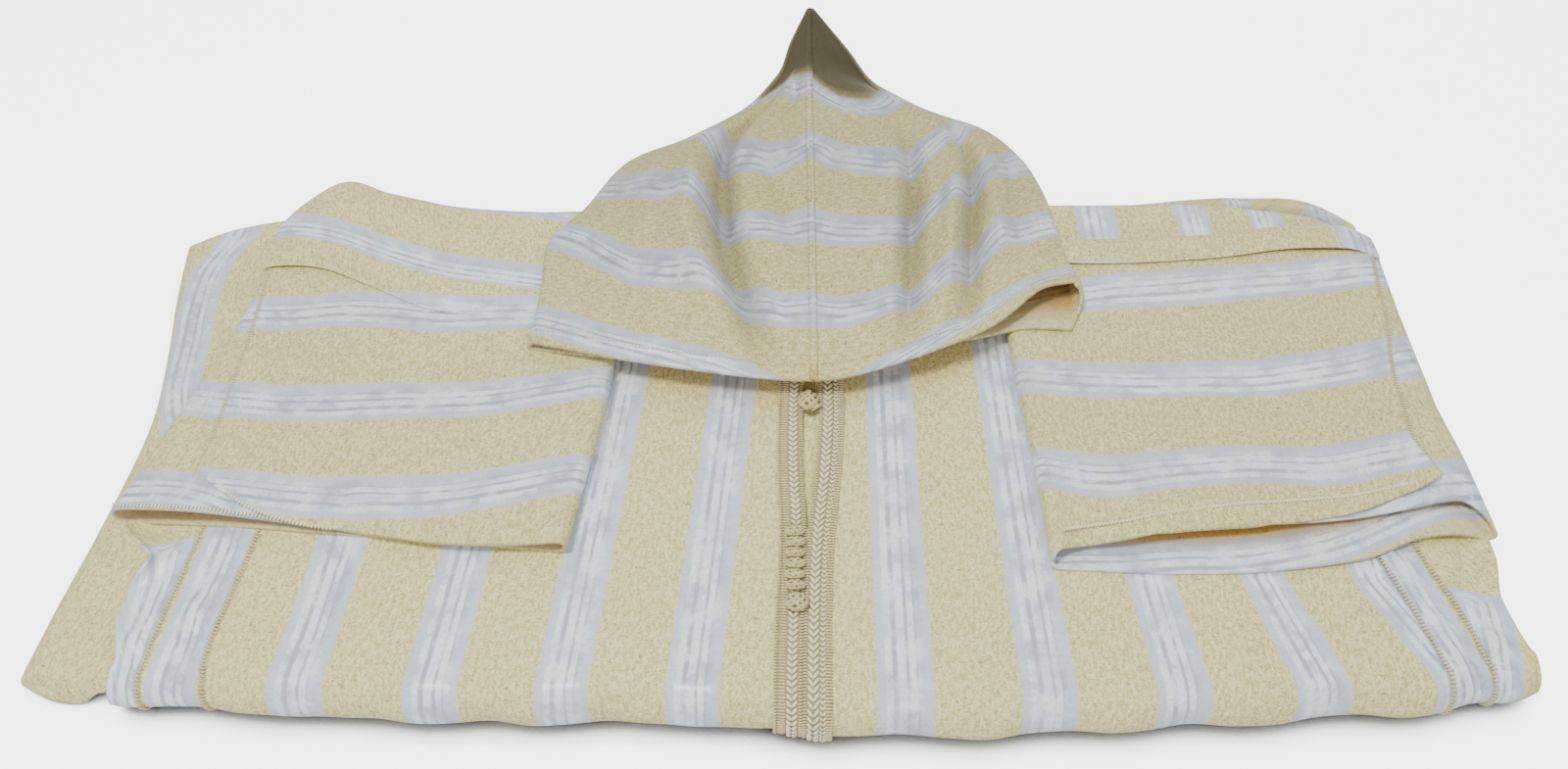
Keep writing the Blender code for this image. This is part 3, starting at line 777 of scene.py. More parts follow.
@dataclass(frozen=True)
class Stitch:
    """A kind of stitch, in cm, set one after another along a path on the cloth."""

    pitch: float
    long: float
    thick: float
    lean: float = 0.0  # turned from the path's own direction, degrees
    rise: float = 0.03

    def along(self, path: Array, up: Array) -> Array:
        """Tube points of a run on the cloth, each stitch turned by the lean about up, the way outward."""
        places, heading = along_path(path, self.pitch)
        share, at = np.linspace(0, 1, len(up)), np.linspace(0, 1, len(places))
        ups = np.stack([np.interp(at, share, up[:, k]) for k in range(3)], axis=1)
        ups = unit(ups - heading * np.sum(ups * heading, axis=1, keepdims=True))
        angle = np.radians(self.lean)
        turned = heading * np.cos(angle) + np.cross(ups, heading) * np.sin(angle)
        return stitch_tubes(places, turned, ups, self.long, self.thick, self.rise)


SIDE_SEAM = Stitch(pitch=0.19, long=0.4, thick=0.052, lean=78.0, rise=0.05)
SLEEVE_SEAM = Stitch(pitch=0.19, long=0.36, thick=0.052, lean=80.0, rise=0.04)
HOOD_HEM = Stitch(pitch=0.24, long=0.18, thick=0.03, rise=0.015)
HOOD_SEAM = Stitch(pitch=0.3, long=0.24, thick=0.04, lean=12.0, rise=0.02)


def fold_up(line: Array) -> Array:
    """Outward directions along a line over the near fold: square to its run, in the plane across the fold."""
    heading = unit(np.gradient(line, axis=0))
    return np.stack([np.zeros(len(heading)), heading[:, 2], -heading[:, 1]], axis=1)


@dataclass(frozen=True)
class SideStrip:
    """A narrow strip beside the front panel, with one stripe along it."""

    name: str
    left: str  # its seams or edges at low and at high x
    right: str
    middle: float  # x of the stripe's middle at the near fold
    lean: float  # how far over the stripe moves for each cm away from the near fold
    flat: tuple[float, float]
    columns: int = 16
    curl: int = 0  # a free edge curls up: -1 at low x, 1 at high x


STRIPS = (
    SideStrip("right_gusset", "gore_right_seam", "front_right_seam", -31.25, 0.10, (0.032, 0.64)),
    SideStrip("right_gore", "gore_right_edge", "gore_right_seam", -33.6, 0.02, (0.022, 0.63), 26, -1),
    SideStrip("left_gusset", "front_left_seam", "gore_left_seam", 32.4, -0.26, (0.024, 0.60)),
    SideStrip("left_gore", "gore_left_seam", "gore_left_edge", 33.9, 0.1, (0.034, 0.62), 26, 1),
)
# each seam's and free edge's y, and its x there
SEAMS: dict[str, tuple[Row, Row]] = {
    "gore_right_edge": (
        (-17.0, -15.5, -14.1, -12.5, -11.6, -10.6, -10.0, -9.0, -7.8, -6.5, -4.5, -2.0, 2.0, 6.0, 11.5),
        (
            -34.5, -34.4, -34.9, -35.2, -35.2, -34.6, -34.4, -35.4, -36.6, -36.9, -35.5, -34.6, -33.9, -33.0,
            -32.6,
        ),
    ),
    "gore_right_seam": ((-17.0, -14.7, -11.5, -8.4, -4.0), (-32.85, -32.7, -32.4, -32.0, -31.8)),
    "front_right_seam": ((-17.0, -15.9, -11.6, -8.5, -4.0), (-29.6, -29.7, -29.3, -28.9, -28.8)),
    "front_left_seam": ((-17.0, -16.4, -12.7, -10.2, -4.0), (31.3, 31.25, 30.5, 29.8, 29.0)),
    "gore_left_seam": ((-17.0, -15.8, -12.6, -9.9, -4.0), (33.65, 33.5, 32.9, 32.0, 31.0)),
    "gore_left_edge": ((-17.0, -14.5, -12.5, -11.0, -9.0, -6.0), (36.2, 36.0, 35.6, 35.9, 36.2, 36.1)),
}  # fmt: skip


@dataclass
class FrontBody:
    """The front panel and the side strips: over the top, round the near fold and back underneath."""

    width: tuple[float, float] = (-29.66, 31.24)  # x of its sides, laid straight
    far: float = 11.5  # y where the top begins
    end: float = 12.0  # y where the turn underneath ends
    roll: float = 1.5  # depth of the half oval round the near fold
    tops: int = 120  # grid lines along the top, round the fold and underneath
    turns: int = 26
    bottoms: int = 12
    slit: tuple[float, float, float] = (-0.25, 0.55, -8.3)  # low x, high x and near end
    neck_middle: tuple[float, float] = (0.3, 7.0)
    neck_half: tuple[float, float] = (7.0, 5.4)
    creases: tuple[Crease, ...] = (
        Crease(-26.5, -8.5, -24.0, -16.8, -0.14, 1.1),
        Crease(-21.5, -10.0, -21.8, -17.2, 0.09, 1.4),
        Crease(-15.5, -11.0, -16.4, -17.6, -0.09, 1.2),
        Crease(-8.0, 0.5, -9.4, -16.5, -0.08, 1.5),
        Crease(7.4, 1.0, 8.2, -15.5, 0.07, 1.7),
        Crease(14.5, -11.5, 14.0, -18.0, -0.10, 1.2),
        Crease(21.0, -11.0, 24.5, -17.3, -0.14, 1.2),
        Crease(27.0, -10.5, 29.0, -17.0, 0.12, 1.1),
        Crease(-4.2, -2.0, -3.0, -14.0, 0.05, 1.2),
    )

    def seam(self, name: str, y: Array) -> Array:
        """x of a seam or free edge at y."""
        return smooth(y, *SEAMS[name])

    def surface(
        self, left: Curve, right: Curve, share: Array, lift: float = 0.0, far: float | None = None
    ) -> Array:
        """The sheet's points: the top line to the near fold, half an oval round it, then flat underneath.

        Args:
            left: x of the low-x edge at y.
            right: x of the high-x edge at y.
            share: places across the sheet, 0 to 1.
            lift: how far it stands off the front's own face, cm.
            far: where the top line starts, cm.

        Returns:
            Points of shape share, along, 3.
        """
        far = self.far if far is None else far
        share = np.asarray(share)[:, None]
        lead = np.linspace(0.0, 1.0, self.tops)[None, :]
        low, high = left(np.array(NEAR_Y)), right(np.array(NEAR_Y))
        x_near = low + (high - low) * share
        start = near_edge(x_near) + self.roll
        y_top = far + (start - far) * lead
        x_top = left(y_top) + (right(y_top) - left(y_top)) * share
        z_top = stack_top(x_top, y_top)
        turn = np.linspace(np.pi / 2, -np.pi / 2, self.turns + 1)[None, 1:]
        tall = z_top[:, -1:]
        y_turn = start - self.roll * np.cos(turn) * (1 + 0.10 * ripple(x_near, x_near * 0.3, 1.0, 0.4))
        z_turn = tall / 2 + tall / 2 * np.sin(turn)
        y_low = start + (self.end - start) * np.linspace(0.0, 1.0, self.bottoms + 1)[None, 1:]
        x = np.concatenate([x_top, np.repeat(x_near, self.turns + self.bottoms, axis=1)], axis=1)
        y = np.concatenate([y_top, y_turn, y_low], axis=1)
        z = np.concatenate([z_top, z_turn, np.zeros_like(y_low)], axis=1)
        points = np.stack([x, y, z], axis=2)
        bumps = relief(x, y, self.creases) + ripple(x, arc(points, 1), 0.03, 1.0)
        near = bell(y, near_edge(x), 2.2) * 0.10 * np.sin(0.9 * x + 0.8 * np.sin(0.37 * x))
        out = (bumps + near) * held(z, 0.0, TURN_HIGH) + lift
        points = points - normals(points, False) * out[..., None]
        points[..., 2] = np.maximum(points[..., 2], 0.0)
        return points

    def lane(self, here: Curve, beside: float, lift: float, far: float | None = None) -> tuple[Array, Array]:
        """A line down the top to the near fold's underside, and outward directions, read from a strip."""
        line = self.surface(here, lambda y: here(y) + beside, np.array([0.0, 1.0]), lift, far)[0]
        last = self.tops + self.turns - 5
        return line[:last], fold_up(line)[:last]

    def front_stripes(self, x: Array, y: Array) -> Array:
        """Stripe coordinate of the front panel: four stripes beside the slit each way, each with its lean."""
        back = np.clip(y, -17.0, 3.0) + 16.7
        starts = (-24.9, -18.2, -11.9, -5.6, 4.6, 11.6, 18.0, 24.9)
        leans = (0.08, 0.09, 0.09, 0.085, 0.01, -0.03, -0.10, -0.30)
        middles = [s + k * np.minimum(back, 5.5 if k < -0.05 else 20.0) for s, k in zip(starts, leans)]
        knots = [*middles[:4], middles[3] + 1.6, middles[4] - 1.6, *middles[4:]]
        steps = PERIOD * np.arange(-3, 1)
        values = [*steps, 1.6, PERIOD - 1.6, *(PERIOD * np.arange(1, 5))]
        return stripe_place(x, knots, values)

    def opening(self, points: Array) -> Array:
        """The cells that stay once the neck's oval and the slit are cut from the top layer."""
        x, y, z = np.moveaxis((points[:-1, :-1] + points[1:, 1:]) / 2, 2, 0)
        slit = (x > self.slit[0]) & (x < self.slit[1]) & (y > self.slit[2])
        across = (x - self.neck_middle[0]) / self.neck_half[0]
        along = (y - self.neck_middle[1]) / self.neck_half[1]
        return ~((slit | (across**2 + along**2 < 1)) & (z > 1.0))

    def sides(self, left: str, right: str) -> tuple[Curve, Curve]:
        """x of a panel's two sides, a little inside its seams."""
        return lambda y: self.seam(left, y) + SEAM_GAP, lambda y: self.seam(right, y) - SEAM_GAP

    def strip(self, plan: SideStrip) -> ClothWall:
        """A side strip with its stripe, gathered in low waves, its free edge curled up."""
        share = np.linspace(0.0, 1.0, plan.columns)[:, None]
        points = self.surface(*self.sides(plan.left, plan.right), share[:, 0])
        x, y, z = np.moveaxis(points, 2, 0)
        if plan.curl:
            edge = share if plan.curl > 0 else 1 - share
            swell = bell(y, -9.6, 2.4) + 0.35 * bell(y, -14.2, 1.6)
            top = held(z, 0.0, TURN_HIGH)
            z += top * swell * 0.75 * held(edge, 0.45, 0.55) ** 2
            x -= plan.curl * top * swell * 0.5 * held(edge, 0.6, 0.4) ** 2
            z += top * 0.09 * np.sin(2.4 * y + 1.3 * edge) * bell(y, -10.5, 4.0) * edge
        gathers = ripple(2.4 * x + 3.0, 2.1 * y, 0.3, 4.0 + plan.lean) * bell(y, -12.0, 4.2, 4)
        inside = np.sin(np.pi * np.clip(share, 0.06, 0.94)) ** 0.7
        z += np.maximum(gathers, -0.1) * held(z, 0.0, TURN_HIGH) * inside
        across = x - plan.middle - plan.lean * (np.clip(y, NEAR_Y, 0) - NEAR_Y)
        # the gathered top of an outer strip is plain cream
        plain = abs(plan.curl) * held(y, -9.2 if plan.curl < 0 else -12.2, 1.1)
        across = across + plain * (plan.curl * PERIOD / 2 - across)
        return ClothWall(plan.name + "_cloth", points, across)

    def panel(self) -> ClothWall:
        """The front panel with its stripes, the neck and the slit cut out."""
        (low, high), (start, end) = self.width, self.slit[:2]
        before = np.linspace(low, start, 100, endpoint=False)
        inside = np.linspace(start, end, 4, endpoint=False)
        straight = np.concatenate([before, inside, np.linspace(end, high, 104)])
        share = (straight - low) / (high - low)
        points = self.surface(*self.sides("front_right_seam", "front_left_seam"), share)
        x, y, z = np.moveaxis(points, 2, 0)
        # the slit's sides stay straight though the seams lean
        centre = bell(x, 0.0, 14.0, 4)
        x[:] = x * (1 - centre) + (low + (high - low) * share[:, None]) * centre
        # painted warm shadow under the hood's face edge, which bends back from the middle
        from_seam = np.abs(x - HOOD_SEAM_X) / 15.9
        edge = np.where(x < HOOD_SEAM_X, 2.6, 6.1) * from_seam**HOOD_LEAN - 0.1
        shade = 0.18 * (held(y - edge + 1.0, 0.0, 0.8) * (np.abs(x) < 20) * (z > 1))
        stripes, keep = self.front_stripes(x, y), self.opening(points)
        return ClothWall("front_cloth", points, stripes, keep=keep, shade=shade)

    def build(self, finishes: Finishes) -> list[Piece]:
        """The front panel, both side strips and both gores, with their seam stitches."""
        front = self.panel().build(finishes.pair)
        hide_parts("front")
        pieces = [front]
        for plan in STRIPS:
            made = self.strip(plan).build(finishes.pair)
            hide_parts(plan.name)
            pieces.append(made)
        runs = []
        for name in ("gore_right_seam", "front_right_seam", "front_left_seam", "gore_left_seam"):
            line, up = self.lane(lambda y: self.seam(name, y), 0.01, 0.05)
            keep = line[:, 1] < -3.0
            runs.append(SIDE_SEAM.along(line[keep], up[keep]))
        return [*pieces, finishes.sewn("side_seam_stitches", runs, Thread.SEAM, "cloth")]


@dataclass
class BackBody:
    """The back panel over the hidden folds: a sheet over a rounded block."""

    width: tuple[float, float] = (-39.4, 36.1)  # x of its sides, laid straight
    left_y: Row = (-17.0, -12.0, -6.0, 0.0, 5.0, 10.0, 14.0)
    left_x: Row = (-40.1, -39.5, -38.6, -38.1, -38.7, -39.6, -40.1)
    right_y: Row = (-16.5, -12.0, -6.0, 2.0, 8.0, 12.5)
    right_x: Row = (36.0, 35.9, 35.7, 35.8, 36.0, 36.2)
    far_x: Row = (-39.5, -36.0, -33.0, -20.0, 0.0, 18.0, 29.0, 34.0, 37.0)
    far_y: Row = (14.4, 15.6, 16.0, 16.0, 16.2, 16.6, 16.6, 15.6, 14.2)
    far_step: Row = (-0.4, -0.3, 0.2, 0.4, 0.5, 1.0, 2.2, 2.6, 1.2)  # of the layers below
    bend_y: Row = (-17.0, -8.0, -2.0, 1.5, 5.2, 9.1, 11.5, 14.0)
    bend_x: Row = (-31.5, -33.0, -35.0, -36.5, -37.0, -37.4, -37.3, -36.2)  # of the left stripe
    radius: float = 1.2  # of its rounded edges
    sunk: float = 0.26  # below the front's outer face

    def edges(self) -> tuple[Curve, Curve, Curve, Curve]:
        """Left, right, near and far outline."""
        return (
            lambda y: smooth(y, self.left_y, self.left_x),
            lambda y: smooth(y, self.right_y, self.right_x),
            lambda x: near_edge(x) + 0.42,
            lambda x: smooth(x, self.far_x, self.far_y),
        )

    def stripes(self, x: Array, y: Array) -> Array:
        """Stripe coordinate of the back: one stripe near the left side that bends, the rest across it."""
        bent = smooth(y, self.bend_y, self.bend_x)
        beside = np.maximum(bent + 1.9, -31.0)
        knots = [bent - 12.0, bent - 1.7, bent, bent + 1.7, beside]
        knots += [-28.0, -22.6, -16.2, -9.8, -5.0, 4.0, 8.2, 12.4, 18.7, 25.1, 29.6, 35.6]
        values = [-4.5, -1.7, 0.0, 1.7, 3.6, 6.5, 13.0, 19.5, 26.0, 28.9, 29.6]
        return stripe_place(x, knots, [*values, 32.5, 39.0, 45.5, 52.0, 58.5, 65.0])

    def build(self, finishes: Finishes) -> list[Piece]:
        """The back panel."""
        near_share = lambda x: 0.02 + 0.53 / (1 + np.exp(-(x + 35.3) * 6.0))
        high = lambda x, y: stack_top(x, y) - self.sunk
        shares = (0.02, 0.45, near_share, 0.45)
        points = draped(*self.width, self.edges(), high, self.radius, shares, (190, 80), 12)
        x, y, z = np.moveaxis(points, 2, 0)
        z += held(np.abs(x), 33.5, 2.0) * (z > 0.6) * (ripple(x, y, 0.05, 2.0) - 0.02)
        # painted shade near the neck, under the hood and in the slit
        shade = 0.3 * held(y, -1.0, 4.0) * bell(x, 0.0, 8.0, 4)
        wall = ClothWall("back_cloth", points, self.stripes(x, y), inward=-1, shade=shade)
        back = wall.build(finishes.pair)
        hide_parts("back")
        return [back]


def draped(
    x0: float, x1: float, edges: tuple[Curve, Curve, Curve, Curve], high: Callable[[Array, Array], Array],
    radius: float, shares: tuple[float, float, Curve, float], counts: tuple[int, int], turns: int,
) -> Array:  # fmt: skip
    """A sheet over a rounded block: flat on top, with quarter rounds down to each edge.

    Args:
        x0: the block's low x when laid straight.
        x1: its high x.
        edges: left, right, near and far outline.
        high: height over x and y.
        radius: of the rounds.
        shares: height share where the left, right, near (a function of x) and far rounds start.
        counts: grid lines across and along the flat.
        turns: grid lines in a round.

    Returns:
        Points of shape across, along, 3.
    """
    def rounds(first: Array | float) -> tuple[Array, Array]:
        """Distance in from the edge and height share, over a quarter round that starts at a height share."""
        low = np.arcsin(np.atleast_1d(first))[:, None]
        angle = low + (np.pi / 2 - low) * np.linspace(0, 1, turns)[None, :]
        return radius * (1 - np.cos(angle)), np.sin(angle)

    left, right, near, far = edges
    in_l, up_l = (v[0] for v in rounds(shares[0]))
    in_r, up_r = (v[0] for v in rounds(shares[1]))
    middle = np.linspace(0, 1, counts[0] + 2)[1:-1]
    flat_x = np.concatenate([x0 + in_l, x0 + radius + (x1 - x0 - 2 * radius) * middle, (x1 - in_r)[::-1]])
    up_x = np.concatenate([up_l, np.ones(counts[0]), up_r[::-1]])[:, None]
    in_n, up_n = rounds(shares[2](flat_x))
    in_f, up_f = rounds(np.full(len(flat_x), shares[3]))
    low, top = near(flat_x)[:, None], far(flat_x)[:, None]
    steps = np.linspace(0, 1, counts[1] + 2)[None, 1:-1]
    flat_y = low + radius + (top - low - 2 * radius) * steps
    y = np.concatenate([low + in_n, flat_y, (top - in_f)[:, ::-1]], axis=1)
    up_y = np.concatenate([up_n, np.ones((len(flat_x), counts[1])), up_f[:, ::-1]], axis=1)
    share = ((flat_x - x0) / (x1 - x0))[:, None]
    x = left(y) + (right(y) - left(y)) * share
    lower = 1 - np.minimum(((1 - up_x) ** 4 + (1 - up_y) ** 4) ** 0.25, 0.999)
    return np.stack([x, y, high(x, y) * lower], axis=2)


@dataclass
class HiddenFolds:
    """The skirt's hidden folds: a block whose rim shows its layers, each a rounded fold."""

    body: BackBody
    # from the floor up: height share, set in from the back's outline, and step at the far side
    layers: tuple[tuple[float, float, float], ...] = (
        (0.00, 0.45, 0.25),
        (0.15, 0.22, 0.95),
        (0.30, 0.30, 0.75),
        (0.46, 0.52, 0.35),
        (0.62, 0.66, 0.15),
        (0.80, 0.95, 0.00),
        (1.00, 1.60, 0.00),
    )
    across: int = 150  # points along the near and far sides, and along the other two
    deep: int = 60
    each: int = 7  # rings in a layer
    floor: int = 8  # rings that close the block below and above
    roof: int = 11
    foot: float = 0.24  # height of its underside
    sunk: float = 0.62  # below the front's outer face

    def grid(self) -> tuple[Array, Array, Array]:
        """Rings of the outline stacked up, each layer's ring bulging between two grooves.

        Returns:
            Points, stripe coordinate and painted shade in the grooves between layers, each of shape place
            round it, ring.
        """
        left, right, near, far = self.body.edges()
        across, deep = self.across, self.deep
        sx = [np.linspace(0, 1, across), np.ones(deep), np.linspace(1, 0, across), np.zeros(deep)]
        sy = [np.zeros(across), np.linspace(0, 1, deep), np.ones(across), np.linspace(1, 0, deep)]
        sx, sy = np.concatenate(sx), np.concatenate(sy)
        starts, insets, steps = np.array(self.layers).T
        turn = np.linspace(-0.5, 0.5, self.each) * np.pi * 0.92
        level = starts[:-1, None] + np.diff(starts)[:, None] * (0.5 + 0.5 * np.sin(turn))
        inset = insets[:-1, None] + 0.22 * (1 - np.cos(turn))
        step = np.repeat(steps[:-1], self.each)
        # the rings close towards the middle on the floor and on top
        ends = (self.floor, self.roof)
        level, inset, step = (np.pad(v.ravel(), ends, mode="edge")[:, None] for v in (level, inset, step))
        closing = np.linspace(0.03, 1, self.floor + 1)[:-1], np.linspace(1, 0.03, self.roof + 1)[1:]
        full = np.ones(len(level) - self.floor - self.roof)
        close = np.concatenate([closing[0], full, closing[1]])[:, None]
        kx, ky = 0.5 + (sx[None] - 0.5) * close, 0.5 + (sy[None] - 0.5) * close
        ripples = 0.10 * np.sin(sx[None] * 31 + level * 17) * np.sin(level * 23 + sy[None] * 9)
        x_flat = self.body.width[0] + inset + (self.body.width[1] - self.body.width[0] - 2 * inset) * kx
        low = near(x_flat) + 1.1 + 0.6 * inset
        top = far(x_flat) - inset + step * smooth(x_flat, self.body.far_x, self.body.far_step) + ripples
        y = low + (top - low) * ky
        x_left = left(y) + np.maximum(inset, 0.5)
        x_right = right(y) - inset + 0.5 * (step > 0.4) * held(ky * 5)
        x = x_left + (x_right - x_left) * kx
        z = self.foot + (stack_top(x, y) - self.sunk - self.foot) * level
        stripes = self.body.stripes(x, y).T + 0.6 * np.floor(level.T * 6)
        # painted shade in the grooves between the layers, and a little on the rings that close it
        groove = np.tile(0.14 * np.abs(np.sin(turn)) ** 6, len(self.layers) - 1)
        groove = np.broadcast_to(np.pad(groove, ends, constant_values=0.1), stripes.shape)
        return np.stack([x, y, z], axis=2).transpose(1, 0, 2), stripes, groove

    def build(self, finishes: Finishes) -> list[Piece]:
        """The block."""
        points, stripes, groove = self.grid()
        quads = capped_quads(*points.shape[:2])
        made = mesh_object("folded_layers", points.reshape(-1, 3), quads, finishes.pair[:1])
        lay_weave(made, weave_of(points))
        paint(made, "stripes", stripes)
        paint(made, "shade", groove)
        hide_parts("inner_folds")
        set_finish(made, "cloth_inside")
        return [made]


@dataclass
class Sleeve:
    """A flattened open tube, its cuff toward the viewer, with the main panel lapped over its upper layer.

    A field of type Pairs holds a value for shares across the sleeve, 0 at its inner edge and 1 at its outer.
    """

    name: str
    side: Side
    outer: Pairs  # layout x and y of the edge, from the cuff to the far end
    inner: Pairs
    high: Row  # of the tube, from the cuff to the far end
    sag: float  # how far the cuff's middle hangs toward the viewer, cm
    setback: Pairs  # how far the upper layer's cuff lies behind the lower's
    lift: Pairs  # how far it stands up
    drawn: Pairs  # how far the lower layer's cuff is drawn back and up
    press: Pairs  # how much of its height the cuff loses there
    seam: Pairs  # share along the sleeve, share across
    lap: Pairs  # how far the main panel's cuff lies behind the tube's
    stripe_x: Row
    stripe_y: tuple[Row, ...]  # each stripe's y on the main panel at stripe_x
    strip_y: Row  # the first stripe beyond the seam
    lower_y: Row  # the lower layer's first stripe
    creases: tuple[Crease, ...]
    # hollow: painted shade inside the tube, from where it begins to where it is darkest
    hollow: tuple[float, float]  # distances from the cuff where it begins to darken and is darkest, cm
    hem: tuple[float, float, float, float]  # its stitches: from share, to share, lean, length
    hem_in: Pairs  # how far in from the edge they run
    flat: tuple[float, float]
    flats: int = 100
    turns: int = 14
    steps: int = 72
    deep: float = 18.0

    def height(self, s: Array) -> Array:
        """Height of the tube, cm."""
        return smooth(s, np.linspace(0, 1, len(self.high)), self.high)

    def edge(self, line: Pairs, s: Array) -> list[Array]:
        """Layout x and y of the inner or the outer edge."""
        return [smooth(s, np.linspace(0, 1, len(line)), values) for values in zip(*line)]

    def seam_share(self, s: Array | float) -> Array:
        """Share across where the main panel ends."""
        return np.interp(s, *zip(*self.seam))

    def place(self, s: Array, share: Array, up: Array) -> Array:
        """A point of the tube: straight across between its two edges, set back at the cuff, up off the stack.

        Args:
            s: 0 at the cuff, 1 at the far end.
            share: 0 at the inner edge, 1 at the outer.
            up: height in the tube, cm.

        Returns:
            Layout points.
        """
        ax, ay = self.edge(self.inner, s)
        bx, by = self.edge(self.outer, s)
        fade = 1 - s
        tall = np.clip(up / self.height(s), 0, 1)
        x = ax + (bx - ax) * share
        drawn = through(self.drawn, share)
        back = drawn + (through(self.setback, share) - drawn) * tall**2
        y = ay + (by - ay) * share + back * fade - self.sag * 4 * share * (1 - share) * fade**2
        up = up * (1 - through(self.press, share) * fade**6)
        z = stack_top(x, y) + LAID + up + through(self.lift, share) * tall * fade**2 + 0.35 * drawn * fade**6
        waves = ripple(x, y, 0.06, 3.0 + self.side.value) * np.clip(s * 12, 0.3, 1)
        return np.stack([x, y, z + tall**3 * (relief(x, y, self.creases) + waves)], axis=-1)

    def ring(self, s: Array) -> tuple[Array, Array]:
        """Share across and height round the flattened tube: bottom run, outer turn, top run, inner turn."""
        (ax, ay), (bx, by) = self.edge(self.inner, s), self.edge(self.outer, s)
        wide, high = np.hypot(bx - ax, by - ay)[None], self.height(s)[None]
        half = high / 2
        run = half + (wide - 2 * half) * np.linspace(0, 1, self.flats)[:, None]
        angle = np.linspace(-np.pi / 2, np.pi / 2, self.turns + 2)[1:-1, None]
        across = [run, wide - half + half * np.cos(angle), run[::-1], half - half * np.cos(angle[::-1])]
        up = [0 * run, half + half * np.sin(angle), 0 * run + high, half + half * np.sin(angle[::-1])]
        return np.concatenate(across) / wide, np.concatenate(up)

    def panel_stripes(self, x: Array, y: Array, first: Sequence[float]) -> Array:
        """Stripe coordinate of the upper layer: y between the stripes' own lines, the nearest given apart."""
        upper = [smooth(x, self.stripe_x, row) for row in (first, *self.stripe_y[1:])]
        return stripe_place(y, upper, [PERIOD * k for k in range(len(upper))])

    def stripes(self, points: Array, up_share: Array) -> Array:
        """Stripe coordinate of the tube, one table for each layer."""
        x, y = points[..., 0], points[..., 1]
        lower = smooth(x, self.stripe_x, self.lower_y)
        lower_place = stripe_place(y, [lower, lower + 6.4], [0.0, PERIOD])
        return np.where(up_share > 0.5, self.panel_stripes(x, y, self.strip_y), lower_place)

    def lap_panel(self) -> ClothWall:
        """The main panel over the tube: it ends along the seam, and its corner at the cuff stands free."""
        reach = np.concatenate([np.linspace(0, 0.88, 70), np.linspace(0.88, 1, 16)[1:]])[:, None]
        first, last = 0.035, self.seam_share(0.0)
        back = through(self.lap, first + (last - first) * reach) / self.deep
        s = back + (0.985 - back) * (np.linspace(0, 1, 72) ** 1.2)[None, :]
        share = first + (self.seam_share(s) - first) * reach
        points = self.place(s, share, self.height(s))
        out = normals(points, False) * self.side.value
        from_cuff = arc(points, 1)
        hem = hem_share(from_cuff, 1.1)
        hem_in = through(self.hem_in, share)
        groove = bell(from_cuff, hem_in, 0.14) * (hem_in > 0.5)
        grow = eased(held(reach * 5))
        free = bell(reach, 1.0, 0.07)
        corner = free * bell(from_cuff, 0.0, 1.1)
        off = -0.06 + 0.21 * grow + 0.03 * hem + 0.22 * corner + 0.05 * free - 0.06 * groove
        points = points + out * off[..., None]
        thick = (0.03 + 0.08 * grow) + 0.04 * hem
        stripes = self.panel_stripes(points[..., 0], points[..., 1], self.stripe_y[0])
        inward = -self.side.value
        # a painted shadow dims the panel like the tube under it
        return ClothWall(self.name + "_panel", points, stripes, inward=inward, thick=thick, dusk=0.12)

    def build(self, finishes: Finishes) -> list[Piece]:
        """The sleeve, its main panel, its hem stitches and its seam stitches."""
        s = np.linspace(0, 1, self.steps) ** 1.25
        share, up = self.ring(s)
        points = self.place(s[None, :], share, up)
        from_cuff = arc(points, 1)
        hem = hem_share(from_cuff, 1.0)
        inward = self.side.value
        points = points - inward * normals(points, True) * (0.02 * hem)[..., None]
        # painted shade: the tube's inside darkens with depth from the cuff, and the whole tube lies under a
        # painted shadow
        depth = held(from_cuff, self.hollow[0], self.hollow[1] - self.hollow[0])
        tube = ClothWall(
            self.name + "_cloth", points, self.stripes(points, up / self.height(s)[None]), inward=inward,
            thick=WALL + 0.05 * hem, wrap=True, inner_shade=depth, dusk=0.12,
        )  # fmt: skip
        made = tube.build(finishes.pair)
        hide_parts(self.name)
        panel = self.lap_panel().build(finishes.pair)
        return [made, panel, self.hem_stitches(finishes), self.seam_stitches(finishes)]

    def top_path(self, s: Array, share: Array, lift: float) -> tuple[Array, Array]:
        """A line on the upper layer and its outward directions."""
        high = self.height(s)
        path = self.place(s, share, high)
        beside = self.place(s, share + 0.004, high) - path
        before, after = (self.place(np.clip(s + step, 0, 1), share, high) for step in (-0.004, 0.004))
        up = unit(np.cross(after - before, beside))
        up = up * np.sign(up[:, 2:3])
        return path + up * lift, up

    def hem_stitches(self, finishes: Finishes) -> Piece:
        """Stitches along the main panel's hem."""
        low, high, lean, long = self.hem
        stitch = Stitch(0.2, long, 0.07, lean, 0.04)
        share = np.linspace(low, high, 160)
        s = (through(self.lap, share) + through(self.hem_in, share)) / self.deep
        runs = [stitch.along(*self.top_path(s, share, 0.16))]
        if self.side is Side.RIGHT:
            # the strip's own edge is overlocked too
            share = np.linspace(0.6, 0.985, 120)
            runs.append(stitch.along(*self.top_path(np.full(120, 0.008), share, 0.06)))
        return finishes.sewn(self.name + "_hem_stitches", runs, Thread.IVORY, "cloth")

    def seam_stitches(self, finishes: Finishes) -> Piece:
        """Overlocking along the main panel's free edge."""
        start = (through(self.lap, self.seam_share(0.0)) + self.hem_in[-1][1]) / self.deep
        s = np.linspace(float(start), 0.97, 120)
        run = SLEEVE_SEAM.along(*self.top_path(s, self.seam_share(s) - 0.003, 0.2))
        return finishes.sewn(self.name + "_seam_stitches", [run], Thread.SEAM, "cloth")


